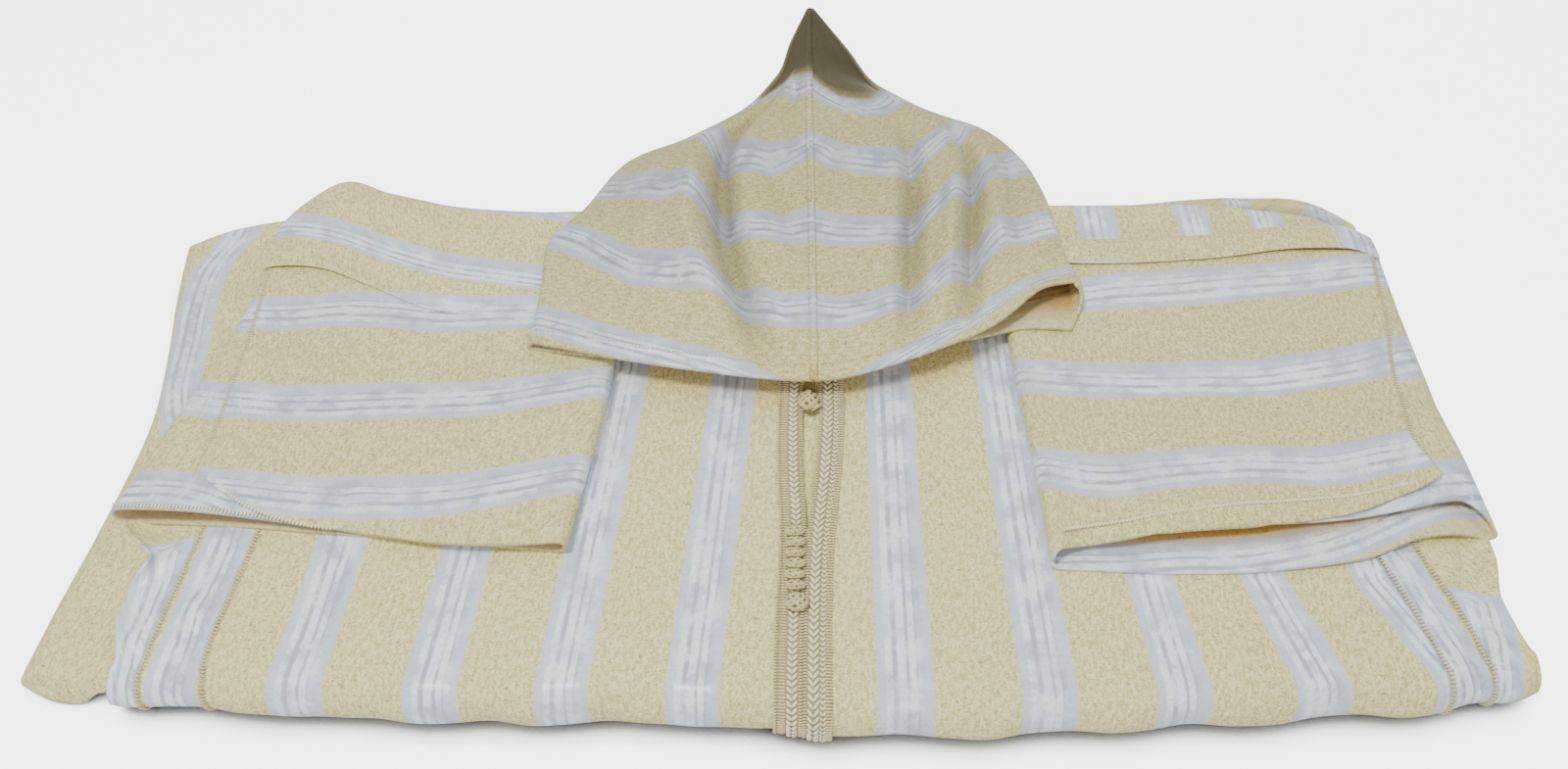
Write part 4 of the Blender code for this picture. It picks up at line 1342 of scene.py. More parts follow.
RIGHT_SLEEVE = Sleeve(
    name="right_sleeve",
    side=Side.RIGHT,
    outer=((-36.9, -7.4), (-35.8, -3.1), (-34.4, 2.2), (-33.4, 6.4), (-33.0, 10.3)),
    inner=((-12.3, -10.0), (-11.6, -5.0), (-11.0, 0.0), (-10.8, 4.0), (-10.8, 7.6)),
    high=(1.50, 1.30, 1.10, 1.05, 1.10),
    sag=0.0,
    setback=((0.0, -0.1), (0.28, -0.35), (0.45, -0.05), (0.65, 0.1), (0.80, 0.1), (1.0, 0.0)),
    lift=((0.0, 0.0), (0.5, 0.0), (0.8, 0.05), (1.0, 0.1)),
    drawn=((0.0, 0.0), (0.5, 0.0), (1.0, 0.0)),
    press=((0.0, 0.0), (0.08, 0.3), (0.3, 0.6), (0.5, 0.6), (0.65, 0.45), (0.8, 0.1), (1.0, 0.0)),
    seam=((0.0, 0.813), (0.25, 0.857), (0.5, 0.91), (0.75, 0.955), (1.0, 0.98)),
    lap=((0.0, 0.0), (0.45, 0.0), (0.60, 0.05), (0.725, 0.85), (0.79, 1.9), (0.813, 2.5)),
    stripe_x=(-36.5, -33, -30, -27, -24, -21, -18, -15, -12),
    stripe_y=(
        (-6.4, -6.5, -6.6, -6.94, -7.08, -7.13, -6.92, -6.37, -5.85),
        (0.4, -0.44, -0.93, -1.2, -1.15, -1.06, -1.0, -0.43, 0.47),
        (6.6, 5.95, 5.75, 5.85, 5.57, 5.15, 5.2, 5.31, 5.31),
        (13.0, 12.4, 12.2, 12.2, 12.0, 11.6, 11.6, 11.7, 11.8),
    ),
    strip_y=(-6.2, -6.5, -7.5, -7.9, -7.6, -7.13, -6.92, -6.37, -5.85),
    lower_y=(-4.0, -4.2, -4.5, -4.8, -5.0, -5.2, -5.3, -5.4, -5.4),
    hollow=(-0.4, 3.6),
    hem=(0.5, 0.81, 78.0, 0.28),
    hem_in=((0.0, 0.05), (1.0, 0.05)),
    creases=(
        Crease(-26.0, -5.6, -22.3, -9.2, -0.16, 0.5),
        Crease(-24.6, -5.2, -21.2, -8.8, 0.12, 0.6),
        Crease(-30.5, 5.5, -28.6, -4.0, -0.12, 0.9),
        Crease(-18.5, 6.0, -19.5, -3.5, 0.08, 1.6),
        Crease(-14.6, 1.5, -13.2, -8.0, 0.10, 1.2),
        Crease(-16.6, -2.0, -14.8, -9.5, -0.09, 1.1),
        Crease(-32.5, -1.0, -33.5, -6.0, -0.14, 0.8),
        Crease(-28.0, 7.5, -16.0, 6.2, 0.10, 0.9),
    ),
    flat=(0.49, 0.175),
)
LEFT_SLEEVE = Sleeve(
    name="left_sleeve",
    side=Side.LEFT,
    outer=((36.2, -9.4), (35.9, -4.9), (35.4, 0.3), (35.5, 5.6), (35.7, 11.3)),
    inner=((12.3, -10.9), (12.2, -5.9), (12.0, -1.2), (11.8, 4.0), (12.4, 9.9)),
    high=(1.50, 1.30, 1.10, 1.05, 1.10),
    sag=0.85,
    setback=(
        (0.0, 0.3), (0.05, 0.9), (0.16, 1.4), (0.26, 1.95), (0.38, 2.25), (0.57, 2.5), (0.73, 2.65),
        (0.83, 2.8), (0.9, 2.95), (0.95, 2.7), (1.0, 1.0),
    ),
    lift=((0.0, 0.0), (0.3, 0.1), (0.6, 0.0), (1.0, 0.0)),
    drawn=((0.0, 0.0), (0.5, 0.1), (0.6, 0.25), (0.71, 0.5), (0.82, 1.15), (0.92, 1.1), (1.0, 0.6)),
    press=(
        (0.0, 0.0), (0.06, 0.5), (0.15, 0.4), (0.3, 0.35), (0.45, 0.45), (0.6, 0.62), (0.75, 0.7),
        (0.93, 0.66), (1.0, 0.4),
    ),
    seam=((0.0, 0.915), (0.25, 0.88), (0.7, 0.945), (1.0, 0.97)),
    lap=((0.0, 0.0), (0.55, 0.0), (0.7, 0.3), (0.8, 0.75), (0.88, 1.2), (0.915, 1.5)),
    stripe_x=(12.0, 13, 16, 19, 22, 25, 28, 31, 34, 36.5),
    stripe_y=(
        (-5.4, -5.56, -6.01, -5.68, -5.41, -5.22, -5.13, -4.42, -3.73, -3.2),
        (0.9, 0.79, 0.5, 0.34, 0.42, 0.46, 0.87, 1.66, 2.71, 3.4),
        (6.4, 6.51, 6.58, 7.06, 7.35, 7.76, 8.2, 8.69, 9.27, 9.7),
        (12.8, 13.0, 13.1, 13.5, 13.8, 14.2, 14.6, 15.1, 15.7, 16.1),
    ),
    strip_y=(-5.4, -5.56, -6.01, -5.7, -6.4, -7.6, -8.2, -7.2, -6.2, -6.1),
    lower_y=(-10.9, -10.8, -10.75, -10.5, -10.4, -9.85, -9.0, -7.7, -6.45, -6.3),
    hollow=(1.1, 3.8),
    hem=(0.03, 0.9, 35.0, 0.34),
    hem_in=((0.0, 0.9), (0.25, 1.0), (0.45, 1.2), (0.7, 0.95), (0.8, 0.65), (0.9, 0.3)),
    creases=(
        Crease(14.8, -2.0, 16.4, -9.5, -0.14, 1.7),
        Crease(24.2, -1.0, 22.0, -8.6, 0.14, 2.2),
        Crease(19.0, 6.5, 18.0, -1.0, -0.08, 1.8),
        Crease(29.0, 7.0, 28.0, -4.5, 0.10, 1.8),
        Crease(32.6, 2.5, 31.8, -5.2, -0.12, 1.0),
        Crease(33.4, 4.0, 34.0, -5.0, -0.16, 0.6),
        Crease(14.0, 7.6, 30.0, 8.2, 0.08, 1.0),
    ),
    flat=(0.49, 0.19),
)  # fmt: skip


@dataclass
class ShoulderFold:
    """The body folded over behind a sleeve: a soft fold on the stack."""

    name: str
    x: Row
    near: Row  # y of its near and far edges at x
    far: Row
    rise: Row  # its height over the stack, cm
    stripe_x: Row
    stripe_y: Row
    lower_y: Row  # the next stripe toward the viewer, which the sleeve carries on
    creases: tuple[Crease, ...]
    flat: tuple[float, float]
    over: Row  # how high its near edge lies on the sleeve, cm
    end_x: float = 99.0  # where a stripe crosses its end

    def stripes(self, x: Array, y: Array) -> Array:
        """Stripe coordinate of the fold: its own stripe, the sleeve's below it and one across its end."""
        middle = smooth(x, self.stripe_x, self.stripe_y)
        lower = smooth(x, self.stripe_x, self.lower_y)
        below = np.maximum(middle - 0.7, lower + 1.52)
        middle = np.maximum(middle, below + 0.3)
        knots = [lower, lower + STRIPE_HALF, below, middle, middle + STRIPE_HALF, middle + 6.4]
        values = [-PERIOD, STRIPE_HALF - PERIOD, -STRIPE_HALF, 0.0, STRIPE_HALF, PERIOD]
        return np.where(x > self.end_x, x - self.end_x - 1.5, stripe_place(y, knots, values))

    def build(self, finishes: Finishes) -> list[Piece]:
        """The fold as a sheet over a rounded block, with one stripe slanting across it."""
        low, high = self.x[0], self.x[-1]
        edges = (
            lambda y: np.full(y.shape, low),
            lambda y: np.full(y.shape, high),
            lambda x: smooth(x, self.x, self.near),
            lambda x: smooth(x, self.x, self.far),
        )
        rise = lambda x, y: smooth(x, self.x, self.rise)
        shares = (0.02, 0.02, lambda x: np.full(x.shape, 0.02), 0.02)
        points = draped(low, high, edges, rise, 0.95, shares, (90, 20), 9)
        x, y, z = np.moveaxis(points, 2, 0)
        near = smooth(x, self.x, self.near)
        soft = held(z, 0.0, 0.9) ** 2
        z[:] = np.maximum(z, smooth(x, self.x, self.over) * bell(y, near, 3.2, 4))
        z += stack_top(x, y) + 0.05 + soft * (relief(x, y, self.creases) + ripple(x, y, 0.05, 5.0))
        # a light painted shadow dims the fold
        wall = ClothWall(self.name + "_cloth", points, self.stripes(x, y), inward=-1, dusk=0.06)
        wall.thick = 0.05 + 0.1 * held(y, near, 2.0)
        made = wall.build(finishes.pair)
        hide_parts(self.name)
        return [made]


SHOULDERS = (
    ShoulderFold(
        name="right_shoulder_fold",
        x=(-33.3, -31.5, -29.3, -26.0, -22.0, -16.0, -11.0),
        near=(9.3, 9.4, 9.1, 7.6, 5.6, 5.3, 5.5),
        far=(13.2, 15.0, 16.6, 15.6, 14.6, 13.9, 13.6),
        rise=(1.1, 1.7, 2.0, 1.85, 1.6, 1.42, 1.3),
        stripe_x=(-33.5, -30.85, -28.18, -24.87, -21.71, -18.68, -11.0),
        stripe_y=(12.9, 12.03, 11.11, 9.68, 8.63, 8.07, 6.6),
        lower_y=(6.1, 5.8, 5.8, 5.65, 5.25, 5.2, 5.4),
        creases=(Crease(-30.5, 15.0, -20.0, 11.5, 0.10, 0.8), Crease(-29.0, 12.8, -18.0, 9.6, -0.10, 0.7)),
        flat=(0.225, 0.095),
        over=(1.48, 1.48, 1.46, 1.42, 1.34, 1.31, 1.31),
    ),
    ShoulderFold(
        name="left_shoulder_fold",
        x=(13.6, 17.0, 24.0, 31.0, 34.0, 35.4),
        near=(9.2, 9.0, 9.5, 10.75, 10.8, 10.4),
        far=(11.2, 11.2, 11.7, 12.9, 13.1, 12.4),
        rise=(1.15, 1.25, 1.3, 1.35, 1.3, 1.1),
        stripe_x=(13.0, 30.0, 32.5, 34.0, 36.5),
        stripe_y=(7.8,) * 5,
        lower_y=(1.4,) * 5,
        creases=(Crease(14.0, 11.2, 33.0, 11.6, 0.06, 0.6), Crease(20.0, 10.6, 31.0, 10.8, -0.05, 0.5)),
        flat=(0.22, 0.025),
        over=(1.46, 1.46, 1.46, 1.46, 1.42, 1.2),
        end_x=32.9,
    ),
)


@dataclass
class HoodHalf:
    """One half of the hood, from the centre seam over the top to the side fold and in again underneath."""

    name: str
    side: Side
    # per section from the face edge to the tip: seam y and z, fold x, y and z, how far in it goes underneath
    # as a share, height there, bulge, radius of the fold
    sections: tuple[Row, ...]
    # per stripe, its section number at ten even shares from the seam to the fold
    stripe_rows: tuple[Row, ...]
    # troughs and ridges: start and end section, share at each, depth, half width
    creases: tuple[tuple[float, float, float, float, float, float], ...]
    flat: tuple[float, float] = (0.21, 0.34)
    area: float = 0.055
    hem: float = 0.95  # its stitches' distance from the face edge, cm
    tops: int = 84  # grid lines over the top, round the side fold and underneath
    turns: int = 14
    unders: int = 12

    @property
    def edge_x(self) -> float:
        """x of the half's edge beside the centre seam."""
        return HOOD_SEAM_X + self.side.value * SEAM_GAP

    def section(self, row: Array, share: Array) -> Array:
        """Points of the upper layer: a leaning line with a bulge, troughs, ridges and low waves.

        Args:
            row: section number, 0 at the face edge.
            share: 0 at the seam, 1 where the side fold begins.

        Returns:
            Layout points of the broadcast shape.
        """
        seam_y, seam_z, fold_x, fold_y, fold_z, _, _, bulge, radius = self.read(row)
        sign = self.side.value
        x = self.edge_x + (fold_x - sign * radius - self.edge_x) * share
        y = seam_y + (fold_y - seam_y) * share**HOOD_LEAN
        top = fold_z + 2 * radius
        z = seam_z + (top - seam_z) * share + bulge * 4 * share * (1 - share)
        z = z + self.troughs(row, share) + self.waves(x, y, row, share)
        return np.stack(np.broadcast_arrays(x, y, z), axis=-1)

    def read(self, row: Array) -> list[Array]:
        """The table's columns at a section number."""
        table = np.array(self.sections)
        lead = np.arange(len(table))
        return [smooth(row, lead, table[:, k]) for k in range(table.shape[1])]

    def troughs(self, row: Array, share: Array) -> Array:
        """Depth of the soft troughs and ridges, which fade towards both ends."""
        depth = 0.0
        for first, last, near, far, deep, wide in self.creases:
            along = held(row, first, last - first)
            ends = np.where((row >= first) & (row <= last), np.sin(np.pi * along) ** 0.8, 0.0)
            depth = depth + deep * ends * bell(share, near + (far - near) * along, wide)
        return depth

    def waves(self, x: Array, y: Array, row: Array, share: Array) -> Array:
        """Low waves, none at the seam or in the standing tip, and a welt beside the seam."""
        calm = held(8.0 - row, 0.0, 1.5) * held(share * 12)
        welt = 0.06 * bell(share, 0.03, 0.025) * held(8.5 - row, 0.0, 2.0)
        return calm * ripple(x, y, 0.06, 7.0 + self.side.value) + welt

    def inwards(self) -> Array:
        """Share of the way back in, for the grid lines underneath."""
        return np.linspace(0, 1, self.unders + 1)[1:]

    def grid(self) -> tuple[Array, Array, Array]:
        """The half's points, its section numbers and its share across for every grid line."""
        rows = [np.linspace(0, 7, 96), np.linspace(7, 8, 20), np.linspace(8, 10, 34)]
        row = np.unique(np.concatenate(rows))[:, None]
        share = np.linspace(0.0, 1.0, self.tops)
        over = self.section(row, share[None, :])
        seam_y, _, fold_x, fold_y, fold_z, inner, under_z, _, radius = self.read(row)
        inner = np.minimum(inner, 1.0)
        angle = np.radians(np.linspace(72.0, -90.0, self.turns))[None, :]
        # beside the standing tip the turn goes round from front to back, not from top to bottom
        upright = eased(held(row, 6.6, 1.3))
        x = fold_x - self.side.value * radius * (1 - np.cos(angle))
        y = fold_y + upright * radius * (1 - np.sin(angle))
        z = fold_z + radius + radius * (np.sin(angle) * (1 - upright) + upright)
        turn = np.stack([x, y, z], axis=-1)
        back = self.inwards()[None] * inner
        x, y, z = (turn[:, -1:, k] for k in range(3))
        x = x + (self.edge_x - x) * back
        y = y + (seam_y + 0.6 - y) * back
        under = np.stack([x, y, z + (under_z - z) * back / inner], axis=-1)
        points = np.concatenate([over, turn, under], axis=1)
        shares = np.concatenate([share, np.full(self.turns, 1.0), 1.0 - self.inwards() * 0.3])
        return points, np.broadcast_to(row, points.shape[:2]), np.broadcast_to(shares, points.shape[:2])

    def corner(self, points: Array, row: Array, share: Array) -> Array:
        """The left corner of the face edge: the top layer drawn back, the layer below pushed forward."""
        if self.side is Side.RIGHT:
            return points
        close = bell(row, 0.0, 0.9)
        swell = bell(share, 0.88, 0.13) * close
        turned = [np.zeros(self.tops), np.linspace(0, 1, self.turns) ** 2, 1 - self.inwards() * 0.75]
        turned = np.concatenate(turned)[None]
        moved = points.copy()
        moved[..., 1] += np.where(turned > 0, 0.6 * swell - 2.3 * turned * close, 0.9 * swell)
        moved[..., 2] += np.where(turned > 0, 0.0, 0.25 * swell)
        return moved

    def stripes(self, row: Array, share: Array) -> Array:
        """Stripe coordinate: the section number between the stripes' own lines."""
        knots = [np.interp(share, np.linspace(0, 1, 10), rows) for rows in self.stripe_rows]
        knots = knots + [knots[-1] + 0.4, np.maximum(knots[-1] + 1.5, 10.0)]
        values = [PERIOD * k for k in range(5)] + [PERIOD * 4 + 1.7, PERIOD * 4 + 4.8]
        return stripe_place(row, knots, values)

    def build(self, finishes: Finishes) -> list[Piece]:
        """The half with its hem, and the stitches of the hem."""
        points, row, share = self.grid()
        points = self.corner(points, row, share)
        stripes = self.stripes(row, share)
        radius = self.read(row)[8]
        from_face = arc(points, 0)
        groove = bell(from_face, self.hem, 0.12) * (share > 0.02)
        points = points - normals(points, False) * self.side.value * 0.045 * groove[..., None]
        wall = ClothWall(self.name + "_cloth", points, stripes, inward=self.side.value)
        wall.thick = np.clip(radius * 0.5, 0.05, WALL) + 0.06 * hem_share(from_face, 0.9) * held(share * 20)
        # painted shade inside the hood, deeper from the face edge
        wall.inner_shade = held(from_face, 0.6, 3.0)
        over = [np.ones(self.tops), np.linspace(1, 0, self.turns), np.zeros(self.unders)]
        over = np.concatenate(over)[None]
        # painted shadow in the troughs' bottoms, on the upper layer
        in_trough = held(-self.troughs(row, share), 0.0, 1.2) ** 1.6
        wall.dusk = self.dusk(row, stripes, over) + 0.34 * over * in_trough
        made = wall.build(finishes.pair)
        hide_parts(self.name)
        run = HOOD_HEM.along(*self.hem_line(points, from_face))
        return [made, finishes.sewn(self.name + "_hem_stitches", [run], Thread.SEAM, "cloth")]

    @staticmethod
    def dusk(row: Array, stripes: Array, over: Array | float = 1.0) -> Array:
        """Painted shadow: more toward the far side, and dark above the last stripe, where the tip stands up
        in shade.
        """
        return 0.21 + 0.16 * held(row, 0.0, 4.0) + 0.68 * over * held(stripes - 4 * PERIOD, 0.9, 1.1)

    def hem_line(self, points: Array, from_face: Array) -> tuple[Array, Array]:
        """The hem's stitch line on the upper layer, and its outward directions."""
        columns = np.arange(2, self.tops)
        rows = np.argmin(np.abs(from_face[:, columns] - self.hem), axis=0)
        up = (normals(points, False) * -self.side.value)[rows, columns]
        up = up * np.sign(up[:, 2:3])
        return points[rows, columns] + up * 0.02, up


HOOD = (
    HoodHalf(
        name="hood_right_half",
        side=Side.RIGHT,
        sections=(
            (-0.1, 4.95, -15.8, 2.5, 4.30, 0.30, 4.30, 0.10, 0.42),
            (2.5, 5.5, -15.6, 4.6, 4.29, 0.30, 4.29, 0.35, 0.42),
            (5.5, 6.0, -15.5, 7.2, 4.34, 0.30, 4.34, 0.5, 0.42),
            (9.5, 6.4, -15.4, 10.4, 4.50, 0.32, 4.48, 0.6, 0.42),
            (13.5, 6.4, -13.6, 13.2, 4.36, 0.55, 4.34, 0.7, 0.42),
            (17.5, 6.2, -11.5, 18.2, 3.50, 1.0, 3.20, 0.9, 0.42),
            (20.3, 6.0, -7.9, 21.4, 2.70, 1.0, 0.60, 0.9, 0.42),
            (22.7, 6.2, -3.9, 24.0, 3.20, 1.0, 0.30, 0.5, 0.38),
            (24.0, 7.5, -1.7, 24.6, 5.20, 1.0, 3.40, 0.1, 0.30),
            (24.6, 9.3, -0.8, 24.8, 8.00, 1.0, 7.40, 0.05, 0.22),
            (25.0, 11.1, 0.25, 25.05, 10.85, 1.0, 10.7, 0.0, 0.06),
        ),
        stripe_rows=(
            (-0.75, -0.4, -0.08, 0.1, 0.22, 0.33, 0.40, 0.50, 0.65, 0.78),
            (1.70, 1.62, 1.88, 2.12, 2.25, 2.27, 2.35, 2.65, 2.98, 3.23),
            (3.20, 3.18, 3.18, 3.35, 3.83, 4.10, 4.20, 4.33, 4.30, 4.40),
            (5.05, 4.67, 4.58, 4.60, 4.75, 5.12, 5.40, 5.60, 5.70, 5.80),
            (7.40, 7.40, 7.43, 7.48, 7.50, 7.58, 7.40, 7.20, 7.10, 7.00),
        ),
        creases=(
            (0.1, 7.0, 0.14, 0.60, -1.60, 0.065),
            (0.3, 6.6, 0.27, 0.74, 0.70, 0.07),
            (2.2, 6.0, 0.02, 0.30, -0.40, 0.05),
            (0.6, 4.6, 0.62, 0.84, -0.22, 0.08),
            (4.8, 7.8, 0.06, 0.30, -0.40, 0.09),
        ),
    ),
    HoodHalf(
        name="hood_left_half",
        side=Side.LEFT,
        sections=(
            (-0.1, 4.95, 16.2, 6.0, 4.34, 0.42, 4.34, 0.10, 0.80),
            (2.5, 5.5, 16.2, 7.2, 4.34, 0.36, 4.34, 0.35, 0.60),
            (5.5, 6.0, 15.7, 9.2, 4.42, 0.30, 4.42, 0.5, 0.42),
            (9.5, 6.4, 15.3, 12.0, 4.60, 0.32, 4.56, 0.6, 0.42),
            (13.5, 6.4, 15.1, 14.8, 4.20, 0.55, 4.20, 0.7, 0.42),
            (17.5, 6.2, 14.3, 18.6, 3.50, 1.0, 3.20, 0.9, 0.42),
            (20.3, 6.0, 12.4, 22.0, 2.90, 1.0, 0.60, 0.9, 0.42),
            (22.7, 6.2, 9.0, 24.0, 2.80, 1.0, 0.30, 0.9, 0.38),
            (24.0, 7.5, 5.2, 24.9, 4.10, 1.0, 3.40, 0.3, 0.30),
            (24.6, 9.3, 3.0, 25.0, 7.30, 1.0, 7.40, 0.1, 0.22),
            (25.0, 11.1, 0.72, 25.1, 10.8, 1.0, 10.7, 0.0, 0.06),
        ),
        stripe_rows=(
            (-0.80, -0.50, -0.15, 0.08, 0.30, 0.53, 0.75, 0.98, 1.10, 1.20),
            (1.68, 1.55, 1.58, 1.73, 1.78, 2.00, 2.35, 2.68, 2.72, 2.80),
            (3.20, 3.08, 3.00, 2.98, 3.33, 3.62, 4.00, 4.50, 4.75, 4.90),
            (5.03, 4.73, 4.55, 4.48, 4.58, 4.88, 5.25, 5.60, 6.00, 6.30),
            (7.35, 6.95, 6.50, 6.35, 6.43, 6.70, 7.00, 7.30, 7.50, 7.60),
        ),
        creases=(
            (0.3, 6.0, 0.34, 0.50, -1.30, 0.055),
            (0.2, 6.2, 0.56, 0.80, -1.35, 0.042),
            (0.4, 5.6, 0.46, 0.68, 0.75, 0.045),
            (4.6, 6.8, 0.03, 0.34, 0.26, 0.04),
            (3.6, 6.4, 0.02, 0.24, -0.30, 0.07),
            (2.0, 5.8, 0.84, 0.94, -0.35, 0.05),
            (1.0, 5.4, 0.70, 0.88, 0.25, 0.05),
        ),
    ),
)


@dataclass
class HoodSeam:
    """The welt over the hood's centre seam, from the face edge to the tip, with its stitches."""

    right: HoodHalf
    left: HoodHalf
    half: float = 0.24
    rise: float = 0.13

    def build(self, finishes: Finishes) -> list[Piece]:
        """The welt: the halves' own faces beside the seam, raised by a half-oval."""
        row = np.linspace(0.0, 9.95, 200)[:, None]
        across = np.linspace(-1.0, 1.0, 11)[None, :]
        half = self.half * np.clip((10.6 - row) / 3.0, 0.3, 1.0)
        sides = []
        for part in (self.right, self.left):
            _, _, fold_x, _, _, _, _, _, radius = part.read(row)
            span = np.abs(fold_x - part.side.value * radius - HOOD_SEAM_X)
            sides.append(part.section(row, np.abs(across) * half / span))
        points = np.where((across < 0)[..., None], sides[0], sides[1])
        points[..., 0] = HOOD_SEAM_X + half * across
        out = -normals(points, False)
        points = points + out * (0.02 + self.rise * np.sqrt(np.clip(1.01 - across**2, 0, 1)))[..., None]
        stripes = self.right.stripes(row, np.abs(across) * 0.01)
        wall = ClothWall("hood_seam_welt", points, stripes, thick=0.05)
        # painted shade at the seam's end by the face edge, and the halves' painted shadow
        wall.shade = 0.3 * bell(arc(points, 0), 0.2, 1.0, 4)
        wall.dusk = self.right.dusk(row, stripes)
        made = wall.build(finishes.pair)
        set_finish(made, "cloth")
        middle = (slice(4, 150), 5)
        run = HOOD_SEAM.along(points[middle] + out[middle] * 0.01, out[middle])
        return [made, finishes.sewn("hood_seam_stitches", [run], Thread.IVORY, "cloth")]


# per side, its chain's rows: distance from the inner edge, lean, pitch, length, radius
CHAINS: dict[Side, tuple[Row, ...]] = {
    Side.RIGHT: ((0.36, -38.0, 0.33, 0.43, 0.092), (0.62, 38.0, 0.33, 0.43, 0.092)),
    Side.LEFT: (
        (0.34, 33.0, 0.37, 0.52, 0.088),
        (0.62, -33.0, 0.37, 0.52, 0.088),
        (0.87, 36.0, 0.27, 0.28, 0.055),
        (1.0, -36.0, 0.27, 0.28, 0.055),
    ),
}


@dataclass
class NeckTrim:
    """Braids on both sides of the neck slit: a flat band, a chain of slanting stitches and ribbed edges."""

    body: FrontBody
    wide: float = 1.3
    thick: float = 0.13
    lift: float = 0.05  # over the front
    top: float = 1.2
    trim_y: Row = (-19.0, -13.0, -9.0, -8.0, -5.0, -1.0, 2.0)
    trim_middle: Row = (-0.35, -0.2, 0.0, 0.05, 0.15, 0.3, 0.35)
    trim_half_gap: Row = (0.03, 0.03, 0.06, 0.12, 0.36, 0.48, 0.42)

    def across(self, side: Side, out: float) -> Curve:
        """x of a line on one braid, out cm from its inner edge."""
        off = lambda y: side.value * (smooth(y, self.trim_y, self.trim_half_gap) + out)
        return lambda y: smooth(y, self.trim_y, self.trim_middle) + off(y)

    def lane(self, side: Side, out: float, lift: float) -> tuple[Array, Array]:
        """A path down the braid to the underside of the near fold, and its outward directions."""
        return self.body.lane(self.across(side, out), 0.02, lift, self.top)

    def band(self, side: Side) -> tuple[Array, Array]:
        """Points and quads of one band, crowned across its width."""
        edges = [self.across(side, out) for out in (0.0, self.wide)][:: side.value]
        share = np.linspace(0, 1, 15)
        grid = self.body.surface(*edges, share, self.lift + self.thick, self.top)
        grid = grid[:, : self.body.tops + self.body.turns - 4]
        crown = 0.05 * (1 - (2 * share[:, None] - 1) ** 4) - 0.05
        grid = grid - normals(grid, False) * crown[..., None]
        rows, columns = grid.shape[:2]
        under = grid + normals(grid, False) * self.thick
        quads, _ = shell_quads(grid_quads(rows, columns, False), rows * columns)
        return np.concatenate([grid.reshape(-1, 3), under.reshape(-1, 3)]), quads

    def build(self, finishes: Finishes) -> list[Piece]:
        """Bands, chains and edge ribs of both braids."""
        pieces = []
        for side in Side:
            name = f"braid_{side.name.lower()}"
            band = mesh_object(name + "_band", *self.band(side), [finishes.threads[Thread.GROUND]])
            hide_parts(name)
            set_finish(band, "braid")
            lift = self.lift + self.thick
            chain = [
                Stitch(pitch, long, thick, lean, 0.05).along(*self.lane(side, out, lift + 0.02))
                for out, lean, pitch, long, thick in CHAINS[side]
            ]
            outer = 1.18 if side is Side.LEFT else 0.98
            ribs = [
                Stitch(0.16, long, 0.05, 86.0).along(*self.lane(side, out, self.lift + self.thick * 0.95))
                for out, long in ((0.07, 0.26), (outer, 0.46), (self.wide, 0.22))
            ]
            pieces += [band, finishes.sewn(name + "_chain", chain, Thread.IVORY, "braid")]
            pieces.append(finishes.sewn(name + "_ribs", ribs, Thread.GOLD, "braid"))
        return pieces


